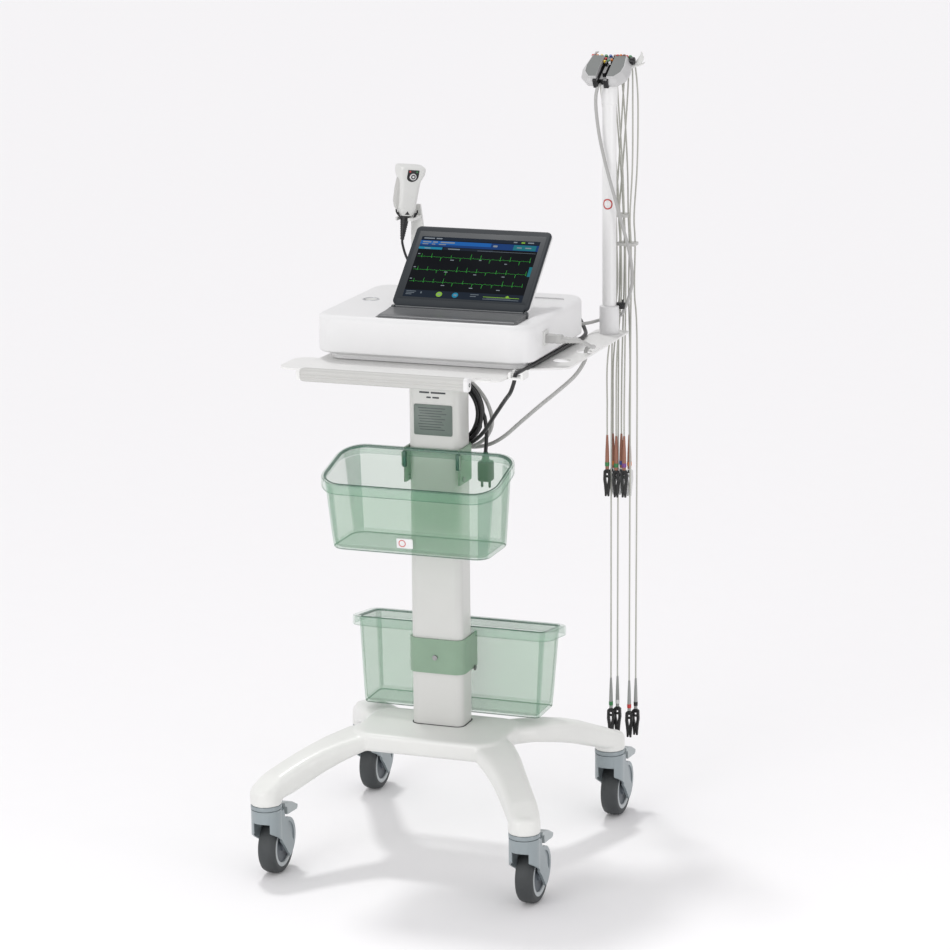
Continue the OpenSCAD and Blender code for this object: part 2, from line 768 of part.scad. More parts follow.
module module_horn() {
  color("white") sited() {
    hull() {
      translate([258, 304, 1370]) sphere(3, $fn = 32);
      translate([264, 306, 1364]) sphere(3, $fn = 32);
      translate([266, 306, 1392]) sphere(2.5, $fn = 32);
      translate([272, 308, 1370]) sphere(3, $fn = 32);
    }
    translate([250, 300, 1360]) cube([10, 8, 12]);
  }
}

// --- scanner ---

module in_scanner() {
  sited() translate(scanner_base) rotate([0, scanner_lean, 0])
    rotate([0, 0, scanner_turn]) children();
}

module scanner_stand() {
  color("gainsboro") sited() {
    translate([stand_x, stand_y - 13, tray_top]) block(44, 28, 6, 6);
    translate([stand_x, stand_y, 0]) intersection() {
      side_profile(26) polygon([[-17, tray_top + 5], [-9, tray_top + 5], [7, 1000], [5, 1060], [0, 1112],
        [-5, 1112], [0, 1058], [1, 1000]]);
      rotate([90, 0, 0]) translate([0, 0, -30]) linear_extrude(60)
        polygon([[-13, tray_top], [13, tray_top], [13, 1050], [7, 1112], [-9, 1112], [-13, 1060]]);
    }
    difference() {
      translate([scanner_base.x + 4, scanner_base.y + 7, fork_z]) block(36, 48, 5, 8);
      translate([scanner_base.x + 1.5, scanner_base.y - 2.5, fork_z - 5]) cylinder(r = 10.5, h = 20);
      translate([scanner_base.x - 9, scanner_base.y - 30, fork_z - 5]) cube([21, 28, 20]);
    }
  }
}

module scanner_body() {
  color("gainsboro") in_scanner() difference() {
    union() {
      hull() {
        translate([0, 0, -2]) block(34, 30, 1, 9, $fn = 32);
        translate([0, 0, 64]) block(40, 32, 1, 9, $fn = 32);
      }
      hull() {
        translate([0, 0, 62]) block(40, 32, 1, 9, $fn = 32);
        translate([0, -2, 74]) block(50, 40, 14, 9, $fn = 32);
      }
      translate([0, -3, -47]) cylinder(r1 = 4, r2 = 9, h = 47, $fn = 32);
    }
    translate([0, -30, 72]) rotate([-90, 0, 0]) cylinder(r = 6 + gap, h = 13.2);
  }
}

module scanner_trigger() {
  color("white") in_scanner() translate([0, -23.5, 72]) rotate([-90, 0, 0]) cylinder(r = 6, h = 5);
}

// --- cords and leads ---

function lead_route(lead) =
  let (plug_x = lead[0], comb_x = lead[1], comb_y = lead[2], low_x = lead[3], low_y = lead[4], low_z = lead[5]) [
    [plug_x, plug_y, plug_z], [plug_x, plug_y + 9, plug_z + 3], [plug_x + 3, plug_y + 17, plug_z - 14],
    [plug_x + 0.4 * (comb_x - plug_x) + lead_spread * (plug_x - 214), comb_y + 4, 1300],
    [plug_x + 0.8 * (comb_x - plug_x) + lead_spread * (plug_x - 214), comb_y + 2, 1190],
    [comb_x, comb_y, comb_top], [comb_x + 2, comb_y, comb_low], [comb_x + 1, max(comb_y, 326), 960],
    [low_x + 1, max(low_y, 326), 840], [low_x, low_y, low_z + 60], [low_x, low_y, low_z]];

module lead_wires() {
  color([0.75, 0.75, 0.7]) sited() for (lead = concat(chest_leads, limb_leads))
    tube_along(lead_route(lead), lead_d, 8, [1, 0, 0]);
}

module lead_clip(sleeve_l) {
  translate([0, 0, -sleeve_l]) cylinder(r1 = 2.2, r2 = 2.8, h = sleeve_l, $fn = 32);
  translate([-3, -4, -sleeve_l - clip_l]) cube([6, 8, clip_l]);
}

module lead_clips() {
  color("dimgray") sited() {
    for (lead = chest_leads) translate([lead[3], lead[4], lead[5]]) lead_clip(chest_sleeve);
    for (lead = limb_leads) translate([lead[3], lead[4], lead[5]]) lead_clip(limb_sleeve);
  }
}

module trunk_cable() { color("silver") sited() tube_along(smooth(trunk_route, 3), trunk_d, 8, [1, 0, 0]); }

module scanner_cord() { color("black") sited() tube_along(smooth(scanner_route, 2), 4.5, 8, [1, 0, 0]); }

module mains_cord() {
  color([0.1, 0.1, 0.1]) sited() {
    tube_along(smooth(mains_route, 3), mains_d, 8, [1, 0, 0]);
    tube_along(mains_tail, mains_d, 8, [1, 0, 0]);
  }
}

module mains_coil() {
  color([0.12, 0.12, 0.12]) sited() translate(coil_centre) rotate([90, 0, 0]) rotate_extrude()
    translate([coil_mid_r, 0]) rounded_rect(mains_d * coil_turns_h, mains_d * coil_turns_w, 3.4);
}

module mains_plug() {
  color([0.1, 0.1, 0.1]) sited() {
    translate([138, case_back - 5, 926]) cube([24, 36, 15]);
    translate([150, case_back + 31, 933.5]) rotate([-90, 0, 0]) cylinder(r1 = 6, r2 = 4, h = 20.5, $fn = 32);
    translate([64, 58, 664]) block(26, 26, 36, 6);
    translate([64, 58, 700]) cylinder(r1 = 8, r2 = 4, h = 16, $fn = 32);
    for (s = [-1, 1]) translate([64 + s * 7, 58, 652]) cylinder(r = 2.3, h = 13);
  }
}

module data_cord() { color("silver") sited() tube_along(smooth(data_route, 2), data_d, 8, [0, 0, 1]); }

module data_plug() {
  color("gainsboro") sited() {
    translate([case_w / 2 - 4, -15.5, 930.5]) cube([36, 15, 15]);
    translate([228, -8, 937]) rotate([0, 90, 0]) cylinder(r1 = 6, r2 = 4, h = 30, $fn = 32);
  }
}

base_frame();
column();
tray_bracket();
tray();
handle_grip();
handle_cap();
caster_stems();
fork(-1, -front_y);  // fork_front_left
fork(1, -front_y);  // fork_front_right
fork(-1, rear_y);  // fork_rear_left
fork(1, rear_y);  // fork_rear_right
axle(-1, -front_y);  // axle_front_left
axle(1, -front_y);  // axle_front_right
axle(-1, rear_y);  // axle_rear_left
axle(1, rear_y);  // axle_rear_right
wheel(-1, -front_y);  // wheel_front_left
wheel(1, -front_y);  // wheel_front_right
wheel(-1, rear_y);  // wheel_rear_left
wheel(1, rear_y);  // wheel_rear_right
pedal(-1, -front_y);  // pedal_front_left
pedal(1, -front_y);  // pedal_front_right
pedal(-1, rear_y);  // pedal_rear_left
pedal(1, rear_y);  // pedal_rear_right
upper_basket();
upper_clamp();
lower_basket();
lower_clamp();
clamp_screws();
cord_hook();
case_cover();
case_base();
case_feet();
main_board();
battery();
power_button();
patient_socket();
mains_inlet();
earth_stud();
hinge_strip();
hinge_pin();
screen_frame();
screen_back();
display_panel();
pole();
pole_collar();
lead_module();
module_core();
module_horn();
scanner_stand();
scanner_body();
scanner_trigger();
trunk_cable();
lead_wires();
lead_clips();
scanner_cord();
mains_cord();
mains_coil();
mains_plug();
data_cord();
data_plug();
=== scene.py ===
import math
import random

import bmesh
import bpy
from mathutils import Matrix, Vector


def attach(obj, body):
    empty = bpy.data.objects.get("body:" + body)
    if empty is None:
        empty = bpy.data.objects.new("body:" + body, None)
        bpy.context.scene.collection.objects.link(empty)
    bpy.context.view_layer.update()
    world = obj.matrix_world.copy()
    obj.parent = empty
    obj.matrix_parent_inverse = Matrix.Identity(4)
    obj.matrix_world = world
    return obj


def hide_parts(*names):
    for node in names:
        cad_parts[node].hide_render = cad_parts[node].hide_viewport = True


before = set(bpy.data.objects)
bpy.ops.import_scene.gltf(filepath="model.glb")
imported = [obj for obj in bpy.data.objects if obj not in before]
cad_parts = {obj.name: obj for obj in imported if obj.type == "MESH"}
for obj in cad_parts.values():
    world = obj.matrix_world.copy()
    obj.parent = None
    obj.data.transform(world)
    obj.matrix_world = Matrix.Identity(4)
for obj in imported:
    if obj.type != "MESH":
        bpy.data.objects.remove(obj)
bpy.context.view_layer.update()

OX, OY = -5.75, -24.1   # the column axis in the part's frame; shapes are drawn round it, all in mm
scene = bpy.context.scene


def point(v):
    """A point drawn in mm round the column axis, in metres in the part's frame."""
    return Vector(((v[0] + OX) / 1000, (v[1] + OY) / 1000, v[2] / 1000))


# ---- camera
cam_data = bpy.data.cameras.new("camera")
cam = bpy.data.objects.new("camera", cam_data)
scene.collection.objects.link(cam)
cam_data.sensor_width = 36
cam_data.lens = 128.47
cam_data.clip_end = 60
right = Vector((0.94153501, 0.33680829, -0.00848542))
up = Vector((-0.07086316, 0.2225919, 0.9723329))
back = Vector((0.32937856, -0.91488416, 0.23344536))
turn = Matrix((right, up, back)).transposed()
cam.matrix_world = Matrix.Translation(point((1997.0, -5366.9, 2057.0))) @ turn.to_4x4()
scene.camera = cam


# ---- materials
def material(name, color, rough=0.4, metallic=0.0, grain=0.02, grain_scale=900.0, vary=0.03, coat=0.0,
             alpha=1.0, rough_vary=0.06, emit=None, edge_lift=0.0, stretch=(1, 1, 1), ior=1.5):
    """A noise-tinted surface; grain is a fine bump, edge_lift lightens the sharp edges, emit is (colour,
    strength).
    """
    m = bpy.data.materials.new(name)
    m.use_nodes = True
    nodes, link = m.node_tree.nodes, m.node_tree.links.new

    def fill(node, **sockets):
        for socket, value in sockets.items():
            node.inputs[socket.replace("_", " ")].default_value = value
        return node

    def add(kind, **sockets):
        return fill(nodes.new("ShaderNode" + kind), **sockets)

    b = fill(nodes["Principled BSDF"], Metallic=metallic, Coat_Weight=coat, Coat_Roughness=0.08, IOR=ior,
             Alpha=alpha)
    if emit:
        fill(b, Emission_Color=(*emit[0], 1), Emission_Strength=emit[1])
    mapping = add("Mapping", Scale=stretch)
    link(add("TexCoord").outputs["Object"], mapping.inputs["Vector"])
    broad = add("TexNoise", Scale=14, Detail=4)
    link(mapping.outputs["Vector"], broad.inputs["Vector"])
    ramp = add("ValToRGB")
    for stop, place, shift in zip(ramp.color_ramp.elements, (0.3, 0.7), (-vary, vary)):
        stop.position = place
        stop.color = (*[min(1, max(0, c * (1 + shift))) for c in color], 1)
    link(broad.outputs["Fac"], ramp.inputs["Fac"])
    colour = ramp.outputs["Color"]
    if edge_lift:
        edge = add("MapRange", From_Min=0.5, From_Max=0.62, To_Max=edge_lift)
        link(add("NewGeometry").outputs["Pointiness"], edge.inputs["Value"])
        mix = add("Mix")
        mix.data_type = "RGBA"
        link(edge.outputs["Result"], mix.inputs["Factor"])
        link(colour, mix.inputs["A"])
        fill(mix, B=(*[min(1, c * 1.5 + 0.12) for c in color], 1))
        colour = mix.outputs["Result"]
    link(colour, b.inputs["Base Color"])
    gloss = add("MapRange", To_Min=max(0.02, rough - rough_vary), To_Max=min(1, rough + rough_vary))
    link(broad.outputs["Fac"], gloss.inputs["Value"])
    link(gloss.outputs["Result"], b.inputs["Roughness"])
    if grain:
        fine = add("TexNoise", Scale=grain_scale, Detail=3)
        link(mapping.outputs["Vector"], fine.inputs["Vector"])
        bump = add("Bump", Strength=min(1, grain * 8), Distance=0.0004)
        link(fine.outputs["Fac"], bump.inputs["Height"])
        link(bump.outputs["Normal"], b.inputs["Normal"])
    return m


WHITE = material("white_gloss", (0.77, 0.77, 0.77), 0.34, grain=0.006, grain_scale=1400, vary=0.012, ior=1.3)
# The tray's white: a copy of the column's white made lighter to offset the shade between tray and case and to
# throw more light up onto the case (painted light).
TRAY_WHITE_LIT = material("tray_white_lit_copy", (0.78, 0.78, 0.765), 0.36, grain=0.02, grain_scale=1300, vary=0.014, ior=1.4)
# The base's white: a copy of the cast white shared with the column and pole, made lighter for the light its top
# loses under the tray, case and baskets (painted light).
CAST = material("white_cast_lit_copy", (0.74, 0.745, 0.72), 0.38, grain=0.02, grain_scale=700, vary=0.02, coat=0.15)
# The darkest copy of the cast white, matched to the column's front, which gets less light than its sides
# (painted shade). The cord hook uses it too.
CAST_WHITE_SHADED = material("white_cast_shaded_copy", (0.6, 0.602, 0.58), 0.34, grain=0.03, grain_scale=1300, vary=0.014,
                 coat=0.15)
# A lighter copy of the cast white for the pole (painted light). The case seam uses the same lighter white.
WHITE_LIGHTER = material("white_cast_lighter_copy", (0.82, 0.82, 0.815), 0.32, grain=0.02, grain_scale=1300, vary=0.012, coat=0.15)
LIGHT = material("light_grey_plastic", (0.7, 0.705, 0.685), 0.4, grain=0.03, grain_scale=1500, vary=0.03)
MODULE = material("module_grey", (0.55, 0.55, 0.55), 0.36, grain=0.03, grain_scale=1500, vary=0.03, coat=0.1)
# The module's grey made dark on the wings' top faces, which get less light than the sides (painted shade).
MODULE_TOP_SHADED = material("module_top_shaded_grey", (0.13, 0.14, 0.135), 0.5, grain=0.04, grain_scale=1500, vary=0.04)
GRIP = material("grip_grey", (0.53, 0.53, 0.51), 0.46, grain=0.05, grain_scale=1700, vary=0.03)
CASTER = material("caster_grey", (0.25, 0.29, 0.305), 0.36, grain=0.04, grain_scale=1200, vary=0.06,
                  edge_lift=0.14, coat=0.12)
PEDAL = material("pedal_grey", (0.35, 0.385, 0.39), 0.4, grain=0.05, grain_scale=1200, vary=0.06, edge_lift=0.15)
TYRE = material("tyre", (0.045, 0.05, 0.052), 0.6, grain=0.07, grain_scale=900, vary=0.16, rough_vary=0.1)
RING = material("wheel_ring", (0.42, 0.45, 0.46), 0.38, grain=0.03, vary=0.05)
HUB = material("wheel_hub", (0.085, 0.1, 0.115), 0.42, grain=0.03, vary=0.1)
STEEL = material("steel", (0.62, 0.63, 0.64), 0.28, metallic=1.0, grain=0.03, grain_scale=500, vary=0.05,
                 stretch=(1, 1, 14))
SCREW = material("screw_steel", (0.3, 0.3, 0.3), 0.35, metallic=1.0, grain=0.05, grain_scale=300, vary=0.3)
BLACK = material("black_plastic", (0.01, 0.01, 0.011), 0.38, grain=0.03, vary=0.2)
CHARCOAL = material("charcoal", (0.026, 0.031, 0.035), 0.42, grain=0.03, grain_scale=1600, vary=0.08)
# The charcoal made lighter for the apron, standing in for the sheen on its glossy top (painted highlight).
APRON_HIGHLIGHT = material("apron_charcoal_highlight", (0.085, 0.088, 0.092), 0.3, grain=0.03, grain_scale=1600, vary=0.08, coat=0.2)
BEZEL = material("bezel", (0.022, 0.027, 0.032), 0.35, grain=0.004, vary=0.05, ior=1.3)
GLASS = material("display_black", (0.003, 0.004, 0.006), 0.3, grain=0.004, vary=0.1, ior=1.12)
GREEN = material("green_clear", (0.22, 0.45, 0.27), 0.22, grain=0.01, grain_scale=500, vary=0.05, alpha=0.19,
                 ior=1.45)
GREEN_RIM = material("green_rim", (0.2, 0.43, 0.28), 0.22, grain=0.01, vary=0.06, alpha=0.17, ior=1.45)
GREEN_EDGE = material("green_edge", (0.03, 0.12, 0.075), 0.25, grain=0.01, vary=0.08, alpha=0.85)
GREEN_FLOOR = material("green_floor", (0.14, 0.33, 0.2), 0.25, grain=0.01, vary=0.06, alpha=0.34, ior=1.45)
GREEN_CORNER = material("green_corner", (0.13, 0.32, 0.19), 0.25, grain=0.01, vary=0.06, alpha=0.4, ior=1.45)
BAND = material("green_band", (0.25, 0.37, 0.265), 0.34, grain=0.02, vary=0.06, alpha=0.88)
# Dark for the painted shade in the gap at the column's foot, and for the grip's screw.
GAP_SHADE_AND_SCREW = material("gap", (0.02, 0.022, 0.024), 0.6, grain=0.03, vary=0.2)
CABLE = material("cable_grey", (0.42, 0.42, 0.41), 0.42, grain=0.04, vary=0.05, coat=0.1)
CABLE_BLACK = material("cable_black", (0.012, 0.012, 0.013), 0.42, grain=0.05, vary=0.2)
LEAD = material("lead_grey", (0.46, 0.465, 0.42), 0.38, grain=0.02, vary=0.05, coat=0.1)
BROWN = material("sleeve_brown", (0.3, 0.13, 0.085), 0.45, grain=0.04, vary=0.08)
SLEEVE = material("sleeve_grey", (0.3, 0.31, 0.3), 0.45, grain=0.04, vary=0.06)
BRASS = material("brass", (0.7, 0.52, 0.22), 0.25, metallic=1.0, grain=0.02, vary=0.06)
BOARD = material("board_green", (0.02, 0.12, 0.06), 0.45, grain=0.06, grain_scale=300, vary=0.3)
LABEL = material("label_white", (0.74, 0.74, 0.74), 0.5, grain=0.01, vary=0.01)
PLATE = material("plate_grey", (0.13, 0.165, 0.145), 0.35, grain=0.02, vary=0.03)
BAR = material("plate_bars", (0.05, 0.065, 0.06), 0.4, grain=0.01, vary=0.03)
COLOURS = {k: material("mark_" + k, c, 0.4, grain=0.02, vary=0.05) for k, c in {
    "red": (0.5, 0.03, 0.025), "yellow": (0.7, 0.5, 0.03), "green": (0.03, 0.2, 0.06),
    "blue": (0.02, 0.07, 0.3), "orange": (0.6, 0.18, 0.03), "purple": (0.18, 0.05, 0.26),
    "black": (0.012, 0.012, 0.012), "white": (0.7, 0.7, 0.7), "brown": (0.18, 0.075, 0.045)}.items()}


def glow(name, color, strength, dark=0.3):
    return material(name, [c * dark for c in color], 0.4, grain=0.004, vary=0.03,
                    emit=(color, strength * 0.6), ior=1.12)


# ---- shapes
def add_bevel(piece, width, segments, limit):
    """Rounds the edges sharper than limit degrees by width mm."""
    bevel = piece.modifiers.new("bevel", "BEVEL")
    bevel.width = width / 1000
    bevel.segments = segments
    bevel.limit_method = "ANGLE"
    bevel.angle_limit = math.radians(limit)
    bevel.harden_normals = True


def applied(piece):
    """Puts the mesh that a piece's modifiers make in place of its own."""
    dg = bpy.context.evaluated_depsgraph_get()
    me = bpy.data.meshes.new_from_object(piece.evaluated_get(dg))
    piece.modifiers.clear()
    piece.data = me
    me.polygons.foreach_set("use_smooth", [True] * len(me.polygons))
    return me


def build(name, verts, faces, mat, body="cart", bevel=0.0, segments=2, at=None, hides=(), slot=None,
          smooth=True, limit=30, mats=None, face_mats=None):
    """Makes one piece from points in mm, rides it on its body and hides the CAD nodes it stands for."""
    me = bpy.data.meshes.new(name)
    pts = [at @ Vector(v) for v in verts] if at is not None else verts
    me.from_pydata([point(v) for v in pts], [], faces)
    me.validate()
    for m in (mats or [mat]):
        me.materials.append(m)
    if face_mats:
        for f, k in zip(me.polygons, face_mats):
            f.material_index = k
    bm = bmesh.new()
    bm.from_mesh(me)
    bmesh.ops.recalc_face_normals(bm, faces=bm.faces)
    bm.to_mesh(me)
    bm.free()
    o = bpy.data.objects.new(name, me)
    scene.collection.objects.link(o)
    if smooth:
        me.polygons.foreach_set("use_smooth", [True] * len(me.polygons))
    if bevel:
        add_bevel(o, bevel, segments, limit)
        o.modifiers.new("normals", "WEIGHTED_NORMAL").keep_sharp = True
    elif smooth:
        me.set_sharp_from_angle(angle=math.radians(40))
    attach(o, body)
    if hides:
        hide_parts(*hides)
    return o


def loft(loops, cap=True, closed=False):
    """Joins loops of equal length into a skin; closed joins the last loop to the first."""
    n = len(loops[0])
    verts = [tuple(p) for l in loops for p in l]
    faces = []
    rows = len(loops)
    for i in range(rows if closed else rows - 1):
        a, b = i * n, ((i + 1) % rows) * n
        for j in range(n):
            k = (j + 1) % n
            faces.append((a + j, a + k, b + k, b + j))
    if cap and not closed:
        faces.append(tuple(range(n - 1, -1, -1)))
        faces.append(tuple((rows - 1) * n + j for j in range(n)))
    return verts, faces


def merge(*parts):
    """Several (verts, faces) shapes as one."""
    verts, faces = [], []
    for v, f in parts:
        k = len(verts)
        verts += [tuple(p) for p in v]
        faces += [tuple(i + k for i in q) for q in f]
    return verts, faces


def rrect(w, d, r, cx=0.0, cy=0.0, n=6):
    """A rectangle with round corners of n steps each."""
    pts = []
    r = max(0.01, min(r, w / 2 - 0.01, d / 2 - 0.01))
    for qx, qy, a0 in ((1, 1, 0), (-1, 1, 90), (-1, -1, 180), (1, -1, 270)):
        for k in range(n + 1):
            a = math.radians(a0 + 90 * k / n)
            pts.append((cx + qx * (w / 2 - r) + r * math.cos(a), cy + qy * (d / 2 - r) + r * math.sin(a)))
    return pts


def at_z(pts, z):
    return [(x, y, z) for x, y in pts]


def slab(w, d, z0, z1, r, cx=0.0, cy=0.0, edge=0.0, n=6):
    """A rounded block whose top and bottom edges are rounded by edge."""
    rows = [(z0, 0), (z1, 0)]
    if edge:
        foot = [math.radians(30 * k) for k in range(4)]
        rows = [(z0 + edge * (1 - math.cos(a)), edge * (1 - math.sin(a))) for a in foot]
        rows += [(z1 - edge + rise, q) for rise, q in quarter(edge, 4)]
    return loft([at_z(rrect(w - 2 * q, d - 2 * q, max(0.3, r - q) if edge else r, cx, cy, n), z) for z,
                 q in rows])


def spin(profile, n=48, axis="z", at=(0, 0, 0), closed=False):
    """Turns (radius, height) points round an axis through at."""
    loops = []
    for r, h in profile:
        loop = []
        for k in range(n):
            a = 2 * math.pi * k / n
            c, s = r * math.cos(a), r * math.sin(a)
            v = {"z": (c, s, h), "x": (h, c, s), "y": (s, h, c)}[axis]
            loop.append((v[0] + at[0], v[1] + at[1], v[2] + at[2]))
        loops.append(loop)
    return loft(loops, cap=not closed, closed=closed)


def prism(outline, x0, x1):
    """A Y-Z outline from x0 to x1."""
    return loft([[(x, y, z) for y, z in outline] for x in (x0, x1)])


def block(axis, rows, w, d, r, centre=(0, 0), n=6):
    """A rounded bar along an axis; rows are (place on the axis, how much narrower it is there)."""
    order = {"x": (2, 0, 1), "y": (0, 2, 1)}[axis]
    return loft([[tuple((*p, place)[k] for k in order) for p in rrect(w - q, d - q, r, *centre, n)]
                 for place, q in rows])


def stack(rows, w, d, r, cy, n, soften=1.0):
    """Level loops of a rounded block; rows are (height, how far it is drawn in on each side)."""
    return [at_z(rrect(w - 2 * q, d - 2 * q, r - soften * q, 0, cy, n), z) for z, q in rows]


def quarter(radius, steps, first=0):
    """(rise, draw-in) points of a quarter round."""
    turns = [math.radians(90 * k / steps) for k in range(first, steps + 1)]
    return [(radius * math.sin(a), radius * (1 - math.cos(a))) for a in turns]


def band_faces(count, closed=True):
    """Faces of a band whose points come in pairs."""
    last = count if closed else count - 1
    return [(2 * k, 2 * k + 1, (2 * k + 3) % (2 * count), (2 * k + 2) % (2 * count)) for k in range(last)]


def catmull(pts, k):
    """A smooth path through points, with k steps between each two."""
    out = []
    for i in range(len(pts) - 1):
        a, b, c, d = (Vector(pts[j]) for j in (max(i - 1, 0), i, i + 1, min(i + 2, len(pts) - 1)))
        for j in range(k):
            t = j / k
            out.append(0.5 * (2 * b + (c - a) * t + (2 * a - 5 * b + 4 * c - d) * t * t
                              + (3 * b - a - 3 * c + d) * t ** 3))
    out.append(Vector(pts[-1]))
    return out


def tube(path, radius, sides=12, flat=1.0):
    """A tube along points; radius is a number or one for each point."""
    path = [Vector(p) for p in path]
    count = len(path)
    rad = radius if isinstance(radius, (list, tuple)) else [radius] * count
    loops, m = [], None
    for i, p in enumerate(path):
        t = (path[min(i + 1, count - 1)] - path[max(i - 1, 0)]).normalized()
        m = Vector((1, 0, 0)) if m is None else m
        if abs(m.dot(t)) > 0.98:
            m = Vector((0, 1, 0))
        m = (m - m.dot(t) * t).normalized()
        q = t.cross(m)
        loops.append([p + rad[i] * (math.cos(2 * math.pi * j / sides) * m
                                    + flat * math.sin(2 * math.pi * j / sides) * q) for j in range(sides)])
    return loft(loops)


def cord(name, path, diameter, mat, hides=(),
         slot=None, sides=10):
    v, f = tube(path, diameter / 2, sides)
    o = build(name, v, f, mat, hides=hides, slot=slot)
    return o


def turned(axis, degrees):
    return Matrix.Rotation(math.radians(degrees), 4, axis)


def to(x, y, z):
    return Matrix.Translation((x, y, z))


# ---- cords (the routes are the CAD's, in mm)
TRUNK = [(209, 262, 1338), (206, 256, 1334), (201, 260, 1312), (202, 264, 1278), (208, 264, 1240),
         (219, 264, 1194), (234, 265, 1141), (249, 267, 1087), (260, 273, 1038), (262, 281, 992),
         (253, 290, 958), (242, 300, 936), (232, 310, 922), (215, 312, 916),
         (197, 300, 913), (184, 272, 912), (164, 254, 912), (134, 244, 913), (100, 240, 916), (72, 242, 926),
         (60, 238, 934), (60, 224.5, 936)]
DATA = [(258, -8, 936), (268, -8, 933), (274, 4, 926), (268, 40, 918), (252, 80, 910), (236, 104, 902),
        (229, 115, 892), (227, 115, 876), (214, 100, 852), (190, 80, 828), (160, 72, 802), (124, 74, 770),
        (90, 78, 740), (58, 84, 722), (22, 86, 716), (-16, 84, 724), (-40, 82, 748), (-44, 80, 780),
        (-30, 80, 818), (0, 82, 846), (32, 84, 830), (56, 84, 802), (68, 82, 768), (60, 80, 740),
        (38, 76, 722), (8, 74, 716), (-28, 78, 722), (-60, 84, 748), (-66, 88, 790), (-62, 90, 840),
        (-60, 90, 872), (-60, 90, 893)]
MAINS = [(150, 276, 933.5), (151, 284, 932), (156, 292, 923), (165, 291, 908), (176, 276, 898),
         (186, 248, 897), (191, 210, 897), (190, 161, 897), (188, 96, 897), (186, 23, 897), (185, -57, 897),
         (183, -104, 898), (181, -119, 896), (180, -123, 884), (168, -108, 862), (142, -60, 838),
         (110, -20, 802), (74, 20, 760), (44, 40, 735), (14, 46, 724)]
MAINS_TAIL = [(66, 49, 780), (68, 52, 756), (66, 56, 734), (64, 58, 716)]
SCANNER = [(-154.6, 235.6, 1051), (-154.5, 237, 1042), (-151, 244, 1020), (-142, 252, 996), (-132, 254, 968),
           (-124, 248, 940), (-120, 240, 926), (-120, 233, 924), (-120, 224.5, 924)]
CHEST = [(182, 219, 320, 201, 328, 691), (190, 223, 328, 210, 334, 693), (198, 227, 320, 218, 328, 690),
         (206, 231, 328, 226, 334, 694), (214, 235, 320, 233, 328, 691), (222, 240, 328, 241, 334, 693)]
LIMB = [(230, 214, 336, 208, 330, 234), (237, 219, 340, 218, 338, 236), (244, 245, 322, 243, 330, 232),
        (250, 249, 334, 253, 338, 235)]
PLUG_Y, PLUG_Z, COMB_TOP, COMB_LOW = 310, 1374, 1099, 1048
SPREAD = 0.13   # how far the leads bow out to the sides under the module, for each mm from its middle


def lead_path(row, inside):
    """A lead's route, which runs on through its sleeve for the length inside."""
    px, cx, cy, lx, ly, lz = row
    return [(px, PLUG_Y, PLUG_Z), (px, PLUG_Y + 9, PLUG_Z + 3), (px + 3, PLUG_Y + 17, PLUG_Z - 14),
            (px + 0.4 * (cx - px) + SPREAD * (px - 214), cy + 4, 1300),
            (px + 0.8 * (cx - px) + SPREAD * (px - 214), cy + 2, 1190), (cx, cy, COMB_TOP),
            (cx + 2, cy, COMB_LOW), (cx + 1, max(cy, 326), 960), (lx + 1, max(ly, 326), 840),
            (lx, ly, lz + 60), (lx, ly, lz), (lx, ly, lz - inside)]


def sleeve(name, x, y, z, long, mat, ring, clip, fat, broad):
    """A tapered sleeve with a coloured ring, and a clip under it; fat and broad widen the sleeve and clip."""
    prof = [(1.7, 6), (2, 4), (2.3 * fat, -long * 0.35), (2.6 * fat, -long * 0.6), (2.7 * fat, -long + 14),
            (2.5 * fat, -long + 4), (2.4 * fat, -long)]
    a = build(name + "_sleeve", *spin([(0.3, 6.5)] + prof + [(0.4, -long)], 16, at=(x, y, z)), mat)
    band = [(2.2, -long + 13), (2.95 * fat, -long + 12.6), (3 * fat, -long + 9), (2.95 * fat, -long + 5.4),
            (2.2, -long + 5)]
    b = build(name + "_ring", *spin(band, 16, at=(x, y, z)), COLOURS[ring])
    top = z - long
    parts = []
    for s in (-1, 1):
        arm = [(x + s * 0.5, y - 3.2, top), (x + s * 2.4 * broad, y - 3.2, top - 4),
               (x + s * 2.6 * broad, y - 3.1, top - 20), (x + s * 1.7 * broad, y - 3, top - 30),
               (x + s * 1.3 * broad, y - 2.6, top - 42), (x + s * 1.5 * broad, y - 2.2, top - 51)]
        loops = []
        for k, q in enumerate(arm):
            w = (1.0, 1.3, 1.4, 1.5, 1.3, 0.9)[k] * broad
            d = (5, 6, 6.2, 5.8, 5.2, 4)[k]
            loops.append([(q[0] - w, q[1], q[2]), (q[0] + w, q[1], q[2]), (q[0] + w, q[1] + d, q[2]),
                          (q[0] - w, q[1] + d, q[2])])
        parts.append(loft(loops))
    parts.append(spin([(0.2, -2.4), (2.3, -2.4), (2.3, 2.4), (0.2, 2.4)], 16, axis="x", at=(x, y, top - 14)))
    c = build(name + "_clip", *merge(*parts), COLOURS[clip], bevel=0.5)
    boot = [(0.3, 1), (2.7, 0), (2.8, -6), (2.2, -8), (0.3, -8.5)]
    d = build(name + "_boot", *spin(boot, 16, at=(x, y, top)), BLACK)
    return [a, b, c, d]


for kind, rows, long, mat, rings, clips, fat, broad in (
        ("chest", CHEST, 57, BROWN, ("green", "orange", "green", "blue", "purple", "orange"),
         ("black", "white"), 1.4, 1.7),
        ("limb", LIMB, 52, SLEEVE, ("green", "white", "red", "black"), ("black",), 1.3, 1.8)):
    for i, row in enumerate(rows):
        bits = sleeve(f"{kind}_{i}", *row[3:], long, mat, rings[i], clips[i % len(clips)], fat, broad)
        cord(f"lead_{kind}_{i}", catmull(lead_path(row, long - 4), 6), 3, LEAD,
             hides=["lead_wires", "lead_clips"],
             slot="cable_grey", sides=8)

